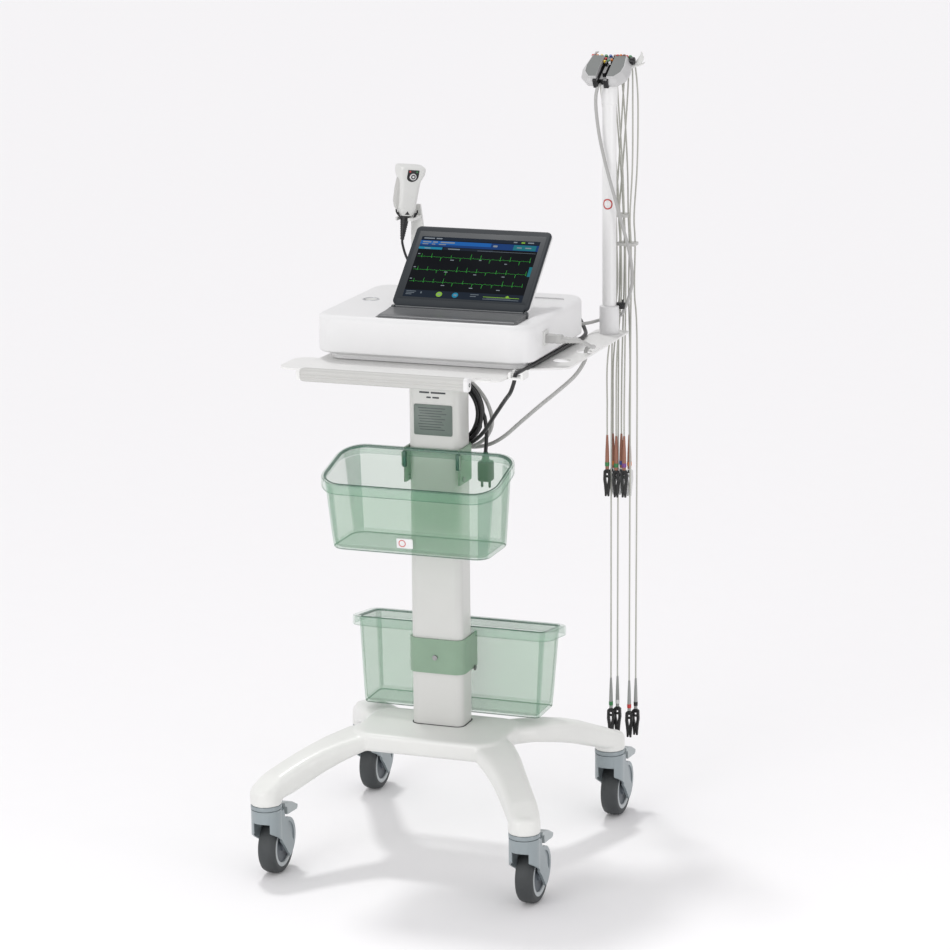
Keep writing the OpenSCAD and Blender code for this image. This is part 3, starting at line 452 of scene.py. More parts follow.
cord("trunk", catmull(TRUNK, 5), 6, CABLE, hides=["trunk_cable"], slot="cable_grey")
cord("scanner_lead", catmull(SCANNER, 5), 4.5, CABLE_BLACK, hides=["scanner_cord"],
     slot="rubber_black")
plug_boot = build("data_boot", *merge(
    spin([(2, 24), (6, 24), (6.3, 26), (5.4, 29), (5.4, 31), (6, 32), (5.2, 35), (5.2, 37), (5.7, 38),
          (4.9, 41), (4.9, 43), (5.3, 44), (4.5, 47), (4.5, 49), (4.9, 50), (4.2, 54), (3.6, 58)], 24, "x",
          (202, -8, 937)),
    block("x", ((192, 1), (199, 0.6), (200, 0), (212, 0), (214, 1.2), (216, 1.2), (218, 0), (226, 0.4),
                (228, 3)), 15, 15, 3, (-8, 938))),
    CABLE, bevel=0.4, hides=["data_plug"], slot="light_grey")
cord("data_cable", catmull(DATA, 5), 7, CABLE, hides=["data_cord"], slot="cable_grey")

COIL_Y, COIL_Z, COIL_START, COIL_STEP, COIL_STEPS = 46, 787, -77.5, 6, 227   # mm and degrees
LANES = ((62.6, -3.6), (55.4, -3.6), (55.4, 3.6), (62.6, 3.6))   # (radius, y) of each turn in the coil
CHANGES = (0.92, 1.86, 2.8)   # where, in turns, the cord moves to the next lane
CHANGE_LENGTH = 0.05
coil = []
for k in range(1, COIL_STEPS + 1):
    turns = k * COIL_STEP / 360
    lane = sum(min(1, max(0, (turns - c) / CHANGE_LENGTH)) for c in CHANGES)
    i = min(3, int(lane))
    r, y = (p + (q - p) * (lane - i) for p, q in zip(LANES[i], LANES[min(i + 1, 3)]))
    t = math.radians(COIL_START - turns * 360)
    coil.append((r * math.cos(t), COIL_Y + y, COIL_Z + r * math.sin(t)))
mains_path = catmull(MAINS[:-1] + [(16, 42.5, 726.5)], 4)[:-1] + coil + catmull(MAINS_TAIL, 4)
inlet_plug = build("inlet_connector", *merge(
    block("y", ((219.5, 0), (228, 0), (229, 2), (231, 2), (232, 0), (250, 0), (254, 2), (255.5, 6)),
          24, 15, 3, (150, 933.5)),
    spin([(2, 29), (6, 30), (6, 33), (5.2, 34), (5.2, 36), (5.6, 37), (5, 40), (5, 42), (5.2, 43), (4.4, 47),
          (4, 51.5)], 24, "y", (150, 224.5, 933.5))), CABLE_BLACK, bevel=0.5)
wall_plug = build("wall_plug", *merge(
    slab(26, 26, 664, 700, 8, 64, 58, edge=4),
    spin([(7.5, 699), (7.2, 703), (6, 704), (6, 706), (6.4, 707), (5.2, 711), (4, 716)], 24, at=(64, 58, 0)),
    spin([(0.2, 652), (1.9, 652.2), (2.3, 654), (2.3, 665)], 16, at=(57, 58, 0)),
    spin([(0.2, 652), (1.9, 652.2), (2.3, 654), (2.3, 665)], 16, at=(71, 58, 0))), CABLE_BLACK, bevel=0.5,
    hides=["mains_plug"])
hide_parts("mains_plug")
cord("mains_lead", mains_path, 7, CABLE_BLACK, hides=["mains_cord", "mains_coil"],
     slot="rubber_black")


# ---- base, column, tray
def melt(name, verts, faces, mat, voxel, rounds, hides=(), slot=None):
    """Joins overlapping closed shapes into one skin and rounds its corners, as a casting's are."""
    o = build(name, verts, faces, mat, smooth=False)
    r = o.modifiers.new("remesh", "REMESH")
    r.mode = "VOXEL"
    r.voxel_size = voxel / 1000
    s = o.modifiers.new("smooth", "SMOOTH")
    s.factor = 0.5
    s.iterations = rounds
    me = applied(o)
    if not me.materials:
        me.materials.append(mat)
    if hides:
        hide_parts(*hides)
    return o


def leg_skin(rows):
    """rows are (x, y, half width, top, underside) along a leg."""
    loops = []
    for i, (x, y, hw, zt, zb) in enumerate(rows):
        a, b = rows[max(i - 1, 0)], rows[min(i + 1, len(rows) - 1)]
        t = Vector((b[0] - a[0], b[1] - a[1])).normalized()
        n = Vector((-t.y, t.x))
        loop = []
        for k in range(28):
            u = 2 * math.pi * k / 28
            c, s = math.cos(u), math.sin(u)
            e = 0.52
            across = hw * math.copysign(abs(c) ** e, c)
            z = (zt + zb) / 2 + (zt - zb) / 2 * math.copysign(abs(s) ** e, s)
            loop.append((x + n.x * across, y + n.y * across, z))
        loops.append(loop)
    return loft(loops)


FRONT_LEG = [(247, -266, 17, 162, 144), (243, -259, 24, 169, 140), (236, -246, 27, 178, 139),
             (229, -233, 27, 187, 143), (214, -209, 27, 198, 149), (196, -181, 27.5, 209, 161),
             (178, -154, 29, 218, 174), (157, -124, 33, 226, 187), (128, -88, 38, 234, 200.5),
             (92, -52, 41, 236.2, 203.5), (40, -20, 41, 236, 204)]
REAR_LEG = [(246, 253, 17, 160, 144), (242, 246, 24, 166, 140), (236, 233, 27, 173, 139),
            (231, 220, 27, 181, 143), (219, 196, 27, 192, 150), (204, 165, 27.5, 206.5, 162),
            (188, 130, 29, 219, 176), (168, 92, 32, 228.5, 189), (139, 50, 36, 234, 201),
            (98, 10, 39, 236, 203.5), (45, -12, 40, 236, 204)]
CASTERS = {"front_left": (-236, -246), "rear_left": (-236, 233), "front_right": (236, -246),
           "rear_right": (236, 233)}
base_parts = [slab(276, 168, 203.5, 237, 44, 0, -31, edge=7, n=10)]
for key, (x, y) in CASTERS.items():
    rows = FRONT_LEG if y < 0 else REAR_LEG
    base_parts.append(leg_skin([(math.copysign(r[0], x), *r[1:]) for r in rows]))
    base_parts.append(spin([(0.5, 137), (27.2, 137), (27.6, 139), (27.6, 157), (26.4, 163), (22, 167),
                            (14, 169), (0.5, 170)], 40, at=(x, y, 0)))
# The base takes the lightened copy of the cast white (painted light).
melt("base_casting", *merge(*base_parts), CAST, 2.7, 7, hides=["base_frame"], slot="cast_white")

# The column takes the darker copy of the cast white (painted shade).
build("column_tube", *slab(95, 60, 237.2, 881, 14, 0, 0, n=10), CAST_WHITE_SHADED, bevel=0.6, hides=["column"],
      slot="cast_white")
# A dark band round the column's foot: painted shade in the gap where the column meets the base.
build("column_foot_shade", *slab(99, 64, 236.2, 237.7, 16, 0, 0), GAP_SHADE_AND_SCREW)


def bars(name, front, back, r, rows, mat):
    """Plain flat bars on the column's front; rows are (left end, height, width, thickness)."""
    build(name, *merge(*[block("y", ((back, 0), (front, 0)), w, h, r, (left + w / 2, z), 2)
                         for left, z, w, h in rows]), mat)


build("nameplate", *block("y", ((-29.5, 0), (-31.4, 0), (-31.8, 1)), 70, 54, 3, (0, 787)), PLATE)
bars("nameplate_bars", -32.0, -31.5, 0.4,
     [(-27 + (k % 3) * 1.5, 808 - 4.7 * k, 50 - (k * 7) % 13, 1.4) for k in range(9)], BAR)
bars("column_marks", -30.3, -29.8, 0.5,
     ((-25, 835, 18, 3), (-4, 835, 27, 3), (-12, 826.5, 8, 2.8), (-1, 826.5, 12, 2.8)), CHARCOAL)


def carried(node, mat):
    """A CAD node that is shown as it is, with a finished material."""
    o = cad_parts[node]
    o.data.materials.clear()
    o.data.materials.append(mat)


# The tray and its bracket take the lightened tray white (painted light). The cord hook takes the darker copy of
# the cast white (painted shade).
for node, mat in (("tray", TRAY_WHITE_LIT), ("tray_bracket", TRAY_WHITE_LIT), ("cord_hook", CAST_WHITE_SHADED), ("upper_clamp", BAND),
                  ("lower_clamp", BAND), ("clamp_screws", SCREW), ("case_feet", TYRE), ("main_board", BOARD),
                  ("battery", CHARCOAL), ("mains_inlet", BLACK), ("earth_stud", BRASS), ("hinge_pin", STEEL),
                  ("scanner_stand", LIGHT)):
    carried(node, mat)
for key in CASTERS:
    carried("axle_" + key, STEEL)
    carried("fork_" + key, CASTER)
    carried("pedal_" + key, PEDAL)

# grip: a ribbed bar with a rounded left end and a cap at its right end
GY, GZ = -176.6, 885.5


def ribbed(y, z):
    """A point of the grip's outline, drawn in where the front has its shallow ribs."""
    if y < GY - 6 and -8.2 < z - GZ < 5:
        y += 0.9 * (1 - math.cos((z - GZ) * 2 * math.pi / 4.4)) / 2
    return y, z


corners = rrect(17, 23, 6, GY, GZ, 8)
outline = []
for i, (y, z) in enumerate(corners):
    y2, z2 = corners[(i + 1) % len(corners)]
    steps = max(1, int(math.hypot(y2 - y, z2 - z) / 0.7))
    outline += [ribbed(y + (y2 - y) * j / steps, z + (z2 - z) * j / steps) for j in range(steps)]
loops = []
for x, q in ((-184, 0.5), (-183.6, 0.72), (-182.4, 0.86), (-180, 0.95), (-176.5, 1), (-150, 1), (-80, 1),
             (0, 1), (60, 1), (110, 1), (112, 1)):
    loops.append([(x, GY + (y - GY) * q, GZ + (z - GZ) * q) for y, z in outline])
build("grip_bar", *loft(loops), GRIP, hides=["handle_grip"], slot="grip_grey")
build("grip_cap", *block("x", ((112, 0), (117.6, 0), (119.2, 1), (120, 3)), 18, 24, 6.5, (GY, GZ), 8), WHITE,
      bevel=0.3, hides=["handle_cap"], slot="white_plastic")
build("grip_screw", *spin([(0.2, 119), (3.4, 119), (3.5, 120.2), (2.6, 120.6), (1.4, 119.8), (0.2, 119.8)],
                          20, "x", (0, GY, GZ)), GAP_SHADE_AND_SCREW)

# ---- baskets


def basket(name, w, d, back_y, side, floor_z, rim_front, rim_back, r_top, r_low, hides, low_cut, lip):
    """side is -1 for a basket in front of the column; its wall at back_y is upright.

    The skin goes up the outside, over the rim and down the inside; kinds hold each row's material.
    """
    far = back_y + side * d
    y_front, y_back = min(back_y, far), max(back_y, far)

    def rim(y):
        return rim_front + (rim_back - rim_front) * (y - y_front) / (y_back - y_front)

    def ring(t, grow, drop=0.0):
        ww = (w - low_cut) + (low_cut - 2 * lip) * t + 2 * grow
        dd = (d - 6 - 14) + 14 * t + 2 * grow
        cy = back_y + side * (3 + dd / 2 - grow)
        r = r_low + (r_top - r_low) * t + grow
        out = []
        for x, y in rrect(ww, dd, max(1, r), 0, cy, 8):
            out.append((x, y, floor_z + t * (rim(y) - floor_z) - drop))
        return out

    loops, kinds = [], []
    for q, dz in ((5, 0), (2, 1), (0.6, 3), (0, 6)):
        loops.append([(x, y, floor_z + dz) for x, y, z in ring(0, -q)])
        kinds.append(2 if q == 2 else 3 if q > 2 else 0)
    for t in (0.2, 0.4, 0.6, 0.8, 0.97):
        loops.append(ring(t, 0))
        kinds.append(0)
    out = lip - 6
    for grow, drop, kind in ((2.4, 1.6, 1), (2.6 + out, 3, 1), (3.2 + out, 16.4, 2), (3.8 + out, 17, 1),
                             (5.4 + out, 16.6, 1), (5.9 + out, 15, 1), (5.6 + out, 2.2, 1),
                             (4.6 + out, 0.5, 2), (4.0 + out, 0.1, 1), (1.2, 0.0, 2), (-2.4, 0.6, 2),
                             (-3, 3.4, 1)):
        loops.append(ring(1, grow, drop))
        kinds.append(kind)
    for t in (0.9, 0.6, 0.3):
        loops.append(ring(t, -3))
        kinds.append(0)
    for q, dz in ((3, 10), (4.5, 6), (8, 3.4)):
        loops.append([(x, y, floor_z + dz) for x, y, z in ring(0, -q)])
        kinds.append(3)
    v, f = loft(loops)
    n = len(loops[0])
    fm = [kinds[i // n] if i // n < len(loops) - 1 else 3 for i in range(len(f))]
    fm = [4 if kind == 0 and 2 <= i % 9 <= 5 else kind for i, kind in enumerate(fm)]
    return build(name, v, f, GREEN, mats=[GREEN, GREEN_RIM, GREEN_EDGE, GREEN_FLOOR, GREEN_CORNER],
                 face_mats=fm, hides=hides, slot="green_clear")


basket("basket_upper", 326, 145, -36, -1, 579.5, 698.5, 738, 40, 26, ["upper_basket"], 40, 6)
basket("basket_lower", 376, 104, 38, 1, 242, 404, 390, 14, 10, ["lower_basket"], 44, 12)
build("clamp_hooks", *merge(*[slab(6.6, 7, 704, 732, 1.2, s * 49.2, -42, edge=0.8) for s in (-1, 1)]),
      GREEN_EDGE)


def label_y(z):
    """The front face of the upper basket, which leans forward as it rises."""
    return -170.6 - 0.12 * (z - 597)


build("basket_label", *loft([[(x, label_y(z) + d, z) for x, z in rrect(29, 17, 1.5, -1.5, 602)]
                             for d in (0.6, 0)]), LABEL)
ring_v = [(-6 + r * math.cos(math.radians(a)), label_y(602 + r * math.sin(math.radians(a))) - 0.25,
           602 + r * math.sin(math.radians(a))) for a in range(0, 360, 12) for r in (5, 6.4)]
build("basket_label_ring", ring_v, band_faces(30), COLOURS["red"])

# ---- casters
TYRE_PROFILE = [(37.5, -15.2), (41, -15.6), (44.5, -15.4), (47.4, -13.4), (49.2, -9.5), (49.9, -4), (50, 0),
                (49.9, 4), (49.2, 9.5), (47.4, 13.4), (44.5, 15.4), (41, 15.6), (37.5, 15.2)]
RIM_PROFILE = [(30, 10), (30.5, 14.2), (32, 15.4), (36.6, 15.6), (38, 14.8), (38, 10)]
HUB_PROFILE = [(4.1, 8), (4.1, 16.8), (9.6, 16.8), (10.6, 16), (11, 12.4), (13, 11.2), (27, 10.6), (29.4, 11.4),
               (30.2, 12.6), (30.2, 8)]
WHEEL_R, TRAIL = 50, 38.7
for key, (cx, cy) in CASTERS.items():
    wy = cy + TRAIL
    build("stem_" + key, *spin([(0.3, 129), (25, 129), (25, 129.8), (26.4, 130), (27, 130.7), (27, 136.2),
                                (26.4, 137), (0.3, 137)], 48, at=(cx, cy, 0)), CASTER,
          hides=["caster_stems"], slot="caster_grey")
    w = "wheel_" + key
    build("tyre_" + key, *spin(TYRE_PROFILE, 72, "x", (cx, wy, WHEEL_R), closed=True), TYRE, w, hides=[w],
          slot="tyre")
    for piece, profile, mat in (("rim_", RIM_PROFILE, RING), ("hub_", HUB_PROFILE, HUB)):
        sides = [spin([(r, s * x) for r, x in profile], 64, "x", (cx, wy, WHEEL_R), closed=True)
                 for s in (-1, 1)]
        build(piece + key, *merge(*sides), mat, w)
build("brake_mark", *spin([(0.2, 22.1), (8.5, 22.1), (8.5, 25.4), (0.2, 25.4)], 28, "x",
                          (CASTERS["rear_left"][0], CASTERS["rear_left"][1] + 24, 92)),
      COLOURS["yellow"], "caster_rear_left")

# ---- recorder case
CASE_Y = 67
BUTTON = (-152, 72)
CASE = (392, 315, 36)   # width, depth, corner radius
rows = [(908, 1.8), (908.5, 0.7), (909.6, 0.1), (911, 0), (935, 0), (958, 0)]
rows += [(963 + rise, q) for rise, q in quarter(9, 7, first=1)]
cover = build("case_lid", *loft(stack(rows, *CASE, CASE_Y, 12)), WHITE, hides=["case_cover"],
              slot="white_plastic")


def cut(target, verts, faces):
    """Cuts a closed shape out of a piece."""
    tool = build("cutter", verts, faces, WHITE, smooth=False)
    m = target.modifiers.new("cut", "BOOLEAN")
    m.operation = "DIFFERENCE"
    m.solver = "EXACT"
    m.object = tool
    applied(target).set_sharp_from_angle(angle=math.radians(35))
    bpy.data.objects.remove(tool)


cut(cover, *slab(258, 262, 969.6, 990, 10, 43, 48, n=5))
cut(cover, *spin([(0.2, 968.2), (14.9, 968.2), (14.9, 980), (0.2, 980)], 48, at=(*BUTTON, 0)))
add_bevel(cover, 0.7, 2, 40)

rows = ((894, 19.5), (901, 19), (902, 17.6), (903, 15), (904.4, 10), (905.8, 5.4), (906.8, 2.9), (907.4, 2),
        (907.7, 2.4))
build("case_tub", *loft(stack(rows, *CASE, CASE_Y, 12, soften=0.5)), WHITE, hides=["case_base"],
      slot="white_plastic")
build("case_seam", *slab(386, 309, 907, 908.6, 33, 0, CASE_Y, n=12), WHITE_LIGHTER)

profile = [(12.5, 969), (12.6, 972.2), (13.1, 972.9), (14.2, 973), (14.9, 972.3), (14.9, 969)]
build("button_rim", *spin(profile, 56, at=(*BUTTON, 0), closed=True), STEEL)
build("button_dish", *spin([(0.2, 966), (12.1, 966), (12.1, 971), (11.6, 971.9), (10.8, 972), (9, 971.1),
                            (6, 970.4), (3, 970.1), (0.2, 970)], 56, at=(*BUTTON, 0)), LIGHT, "power_button",
      hides=["power_button"], slot="light_grey")
# A black crescent on the near side of the power button's dish: painted shade where the hollow looks dark.
dish_shade_pts = []
for k in range(19):
    a = math.radians(185 + 170 * k / 18)
    fat = 0.4 + 4.6 * math.sin(math.pi * k / 18)
    for r, z in ((11.9, 972.3), (11.9 - fat, 972.3 - 0.12 * fat)):
        dish_shade_pts.append((BUTTON[0] + r * math.cos(a), BUTTON[1] + r * math.sin(a), z))
build("button_dish_shade", dish_shade_pts, band_faces(19, closed=False), BLACK, "power_button")

# side socket of the patient cable
build("socket_frame", *merge(
    block("x", ((193, 0), (197.6, 0), (198.8, 0.8), (199, 2.4)), 25, 26, 3.5, (-8, 938.5)),
    block("x", ((198.7, 0), (199.25, 0)), 17, 17.5, 2, (-8, 938.5))), LIGHT,
      bevel=0.4, hides=["patient_socket"], slot="light_grey")

# ---- screen
HINGE = (42, -9.2, 974.8)
SCREEN_AT = to(*HINGE) @ turned("X", 40.4)
strip = [(-79, 968.2), (-79.2, 972.4), (-78.2, 974.2), (-75.5, 975.5), (-70, 976.1), (-58, 976.4),
         (-44, 976.8), (-32, 977.6), (-25, 978.4), (-20.4, 979.2), (-18.2, 979), (-17.2, 977.6), (-17, 968.2)]
# The apron takes the lightened charcoal (painted highlight on its glossy top).
build("hinge_apron", *prism(strip, HINGE[0] - 123.4, HINGE[0] + 123.4), APRON_HIGHLIGHT, bevel=1.0, segments=3,
      limit=50, hides=["hinge_strip"], slot="charcoal")
roll = [(6.35 * math.cos(math.radians(a)), 6.35 * math.sin(math.radians(a))) for a in range(0, 360, 9)]
build("hinge_roll", *loft([[(x, y * q, z * q) for y, z in roll] for x, q in
                           ((-116.9, 0.9), (-116.2, 1), (116.2, 1), (116.9, 0.9))]), CHARCOAL, "screen",
      at=SCREEN_AT)
for s, end in ((-1, "l"), (1, "r")):
    build("hinge_ear_" + end, *loft([[(x, y * q, z * q) for y, z in roll] for x, q in
                                     ((s * 117.6, 0.94), (s * 118.2, 1), (s * 122.6, 1), (s * 123.4, 0.9))]),
          CHARCOAL, at=to(*HINGE))
rows = ((2.05, 0.4), (2.6, 0), (5.2, 0), (6.3, 0.35), (6.9, 1.1), (7.0, 2.2))
build("screen_bezel", *loft(stack(rows, 248, 175, 9, 93.5, 8, soften=0.4)), BEZEL, "screen", at=SCREEN_AT,
      hides=["screen_frame"], slot="charcoal")
neck = [(2, 1.2), (2, 5.5), (3.2, 6.7), (6, 7.0), (12, 7.05), (20, 7.05), (20, 1.2)]
build("screen_chin", *prism(neck, -116.6, 116.6), BEZEL, "screen", at=SCREEN_AT, bevel=0.6)
build("screen_glass", *slab(236, 152, 6.6, 7.18, 4, 0, 93.5, edge=0.25), BEZEL, "screen", at=SCREEN_AT)
rows = ((-5, 3.2), (-4.6, 1.6), (-3.6, 0.5), (-2, 0), (1.4, 0), (1.9, 0.4))
build("screen_shell", *loft(stack(rows, 249, 176, 9.5, 93.5, 8, soften=0.4)), WHITE, "screen", at=SCREEN_AT,
      hides=["screen_back"], slot="white_plastic")
build("display_area", *slab(217, 135.6, 6.9, 7.22, 0.6, 0, 89.8), GLASS, "screen", at=SCREEN_AT,
      hides=["display_panel"], slot="display")

# what the display shows: plain bars, tabs and traces
UI_W, UI_H, UI_X, UI_Y = 217.0, 135.6, -108.5, 22.0


def ui_quads(rects, z):
    """Flat quads at height z; rects are (left, bottom, width, height) in parts of the display."""
    v, f = [], []
    for x, y, w, h in rects:
        k = len(v)
        x0, y0 = UI_X + x * UI_W, UI_Y + y * UI_H
        x1, y1 = x0 + w * UI_W, y0 + h * UI_H
        v += [(x0, y0, z), (x1, y0, z), (x1, y1, z), (x0, y1, z)]
        f.append((k, k + 1, k + 2, k + 3))
    return v, f


def ui(name, rects, mat, z):
    build(name, *ui_quads(rects, z), UI[mat], "screen", at=SCREEN_AT, smooth=False)


def line(y, h, *spans):
    """Bars of one height side by side; spans are (left end, width)."""
    return [(x, y, w, h) for x, w in spans]


UI = {k: glow("ui_" + k, colour, strength) for k, colour, strength in (
    ("blue", (0.008, 0.05, 0.2), 0.8), ("blue_bright", (0.012, 0.13, 0.45), 0.8),
    ("cyan", (0.015, 0.24, 0.4), 0.9), ("teal", (0.015, 0.2, 0.25), 0.7), ("marks", (0.3, 0.34, 0.38), 0.7),
    ("dim", (0.16, 0.19, 0.22), 0.8), ("green", (0.05, 0.42, 0.06), 1.0), ("lime", (0.25, 0.5, 0.05), 0.9),
    ("dark", (0.012, 0.02, 0.035), 0.8))}
ui("ui_header", [(0, 0.945, 1, 0.055), (0, 0.0, 1, 0.115)], "dark", 7.26)
ui("ui_bar_blue", [(0, 0.835, 1, 0.1)], "blue", 7.28)
ui("ui_bar_bright", [(0.0, 0.872, 0.6, 0.06)], "blue_bright", 7.3)
ui("ui_tab", [(0.0, 0.79, 0.2, 0.038)], "cyan", 7.3)
ui("ui_tab_dark", [(0.21, 0.79, 0.42, 0.038)], "dark", 7.3)
ui("ui_block", [(0.79, 0.842, 0.19, 0.085), (0.975, 0.42, 0.025, 0.16)], "teal", 7.31)
ui("ui_line", [(0.5, 0.797, 0.49, 0.006)], "dim", 7.32)
ui("ui_text", [*line(0.962, 0.018, (0.02, 0.09), (0.125, 0.05), (0.78, 0.03), (0.9, 0.05)),
               *line(0.9, 0.02, (0.02, 0.07), (0.105, 0.04), (0.17, 0.12)),
               *line(0.868, 0.014, (0.02, 0.05), (0.1, 0.03), (0.16, 0.06)),
               (0.62, 0.875, 0.035, 0.03), *line(0.875, 0.018, (0.82, 0.04), (0.89, 0.05)),
               *line(0.8, 0.014, (0.05, 0.05), (0.25, 0.1))], "marks", 7.34)
ui("ui_small", [(0.02, 0.085, 0.08, 0.012), (0.02, 0.06, 0.07, 0.012), (0.02, 0.035, 0.05, 0.012),
                (0.14, 0.06, 0.012, 0.03), (0.56, 0.08, 0.07, 0.012), (0.56, 0.05, 0.05, 0.012),
                (0.67, 0.02, 0.3, 0.01), (0.7, 0.04, 0.2, 0.006)], "dim", 7.34)
ui("ui_battery", [(0.845, 0.958, 0.03, 0.022)], "lime", 7.35)
ui("ui_lime_line", [(0.67, 0.055, 0.3, 0.008)], "lime", 7.35)
for name, fx, mat, inner in (("ui_button_green", 0.3, "lime", "marks"),
                             ("ui_button_blue", 0.435, "cyan", "marks")):
    x, y = UI_X + fx * UI_W, UI_Y + 0.06 * UI_H
    ringv = [(x + 5.6 * math.cos(2 * math.pi * k / 32), y + 5.6 * math.sin(2 * math.pi * k / 32), 7.36)
             for k in range(32)]
    build(name, ringv, [tuple(range(32))], UI[mat], "screen", at=SCREEN_AT, smooth=False)
    ui(name + "_mark", [(fx - 0.012, 0.05, 0.01, 0.025), (fx + 0.002, 0.045, 0.01, 0.03)], inner, 7.38)
dx, dy = UI_X + 0.87 * UI_W, UI_Y + 0.075 * UI_H
build("ui_diamond", [(dx - 4, dy, 7.37), (dx, dy - 3, 7.37), (dx + 4, dy, 7.37), (dx, dy + 3, 7.37)],
      [(0, 1, 2, 3)], UI["lime"], "screen", at=SCREEN_AT, smooth=False)


def trace(base, tall, seed):
    """One row of an ordinary heart trace as a thin ribbon."""
    rnd = random.Random(seed)
    beat = 0.083
    pts, x = [], 0.015
    while x < 0.985:
        lift = tall * (0.75 + 0.5 * rnd.random())
        sign = -1 if rnd.random() < 0.25 else 1
        for fx, fy in ((0, 0), (0.14, 0), (0.2, 0.07), (0.26, 0), (0.36, 0), (0.385, -0.14), (0.41, sign),
                       (0.435, -0.3), (0.46, 0), (0.6, 0.02), (0.68, 0.16), (0.76, 0.02), (0.85, 0)):
            if x + fx * beat < 0.975:
                pts.append(Vector((UI_X + (x + fx * beat) * UI_W, UI_Y + (base + fy * lift) * UI_H)))
        x += beat
    v = []
    for i, p in enumerate(pts):
        t = (pts[min(i + 1, len(pts) - 1)] - pts[max(i - 1, 0)]).normalized()
        for d in (-0.22, 0.22):
            v.append((p.x - t.y * d, p.y + t.x * d, 7.34))
    return v, band_faces(len(pts), closed=False)


build("ui_traces", *merge(trace(0.665, 0.06, 3), trace(0.45, 0.065, 8), trace(0.255, 0.06, 21)), UI["green"],
      "screen", at=SCREEN_AT, smooth=False)
ui("ui_lead_marks", [(0.012, 0.7, 0.018, 0.014), (0.012, 0.48, 0.018, 0.014), (0.012, 0.29, 0.018, 0.014),
                     (0.3, 0.62, 0.03, 0.012), (0.54, 0.64, 0.02, 0.012), (0.76, 0.6, 0.02, 0.012),
                     (0.28, 0.42, 0.03, 0.012), (0.53, 0.4, 0.025, 0.012), (0.77, 0.39, 0.025, 0.012),
                     (0.29, 0.2, 0.03, 0.012), (0.53, 0.18, 0.03, 0.012), (0.76, 0.17, 0.03, 0.012)], "marks",
                     7.34)

# ---- pole and lead module
PX, PY, POLE_R = 218, 286, 12.5
profile = [(0.4, 893.2), (12.5, 893.2), (12.5, 1301), (12.8, 1302), (14.1, 1303), (14.5, 1304.5),
           (14.5, 1352), (0.4, 1352)]
# The pole takes the lighter copy of the cast white (painted light).
build("pole_tube", *spin(profile, 56, at=(PX, PY, 0)), WHITE_LIGHTER, hides=["pole"], slot="cast_white")
profile = [(12.5, 893.2), (17.5, 893.2), (17.5, 940.5), (17.1, 942.2), (15.8, 943), (12.5, 943)]
build("pole_socket", *spin(profile, 56, at=(PX, PY, 0)), WHITE, hides=["pole_collar"], slot="white_plastic")


def wrap(name, cz, size, lift, mat, inner=0.0):
    """A round label on the front of the pole; inner leaves a ring."""
    v = []
    for k in range(40):
        a = 2 * math.pi * k / 40
        for q in (1.0, inner):
            b = math.radians(-88) + size[0] * q * math.cos(a) / POLE_R
            v.append((PX + (POLE_R + lift) * math.cos(b), PY + (POLE_R + lift) * math.sin(b),
                      cz + size[1] * q * math.sin(a)))
    return build(name, v, band_faces(40), mat)


wrap("pole_label", 1126, (10, 10.5), 0.2, LABEL)
wrap("pole_label_ring", 1126, (9, 9.4), 0.32, COLOURS["red"], inner=0.76)
build("pole_clip", *merge(
    block("x", ((229, 1), (232, 0), (241, 0), (244, 2)), 10, 12, 2, (296, 942)),
    block("x", ((240, 0), (243, 0)), 4, 16, 1.5, (291, 946))), BLACK, bevel=0.7)

MODULE_AT = to(214, 257, 1333) @ turned("X", 30)
wings = []
for s in (-1, 1):
    outer = [(9, 0), (28, 0), (41, 15), (44, 33), (38.5, 66), (9, 66)]
    loops = []
    for z, q in ((0.2, 5), (2.5, 2), (6.5, 0.2), (9, 0), (12, 0.8), (17, 4), (21.4, 7.4), (22.7, 9),
                 (23, 10)):
        loop = []
        for x, y in outer:
            x2 = 9 + (x - 9) * (1 - q / 35) if x > 9 else 9 + q * 0.1
            y2 = 33 + (y - 33) * (1 - min(q, 3) / 33)
            loop.append((s * x2, y2, z))
        loops.append(loop)
    wings.append(loft(loops))
# The wings' top faces take the dark top grey (painted shade).
wing_mats = ([0] * (len(wings[0][1]) - 1) + [1]) * 2   # the last face of each wing is its top
build("module_wings", *merge(*wings), MODULE, at=MODULE_AT, bevel=2.4, segments=3, limit=20,
      mats=[MODULE, MODULE_TOP_SHADED], face_mats=wing_mats, hides=["lead_module"], slot="grip_grey")
build("module_channel", *merge(
    loft([[(x, y, z) for x, z in ((-9, 0.2), (9, 0.2), (9, 16), (6, 12), (-6, 12), (-9, 16))]
          for y in (8, 66)]),
    slab(7, 26, 11, 17, 2, 0, 32, edge=1), slab(12, 14, 11, 19, 2, 0, 56, edge=1)), BLACK, at=MODULE_AT,
      bevel=0.6, hides=["module_core"], slot="charcoal")
for s, end in ((-1, "l"), (1, "r")):
    build("module_notch_" + end, *slab(9, 9, 0.6, 17, 1, s * 9.5 - 1.5, 2.2, edge=0.4), BLACK, at=MODULE_AT)
marks = ["red", "orange", "yellow", "green", "blue", "brown", "black", "purple", "red", "green"]
for i, row in enumerate(CHEST + LIMB):
    x = row[0] - 214
    build(f"lead_plug_{i}", *merge(slab(6, 7.5, -2, 8, 1.5, x, 67, edge=0.8),
                                   slab(4.6, 5, 7, 11.5, 1.5, x, 66.6, edge=0.8)),
          COLOURS[marks[i]], at=MODULE_AT @ to(0, 0, 9.5))
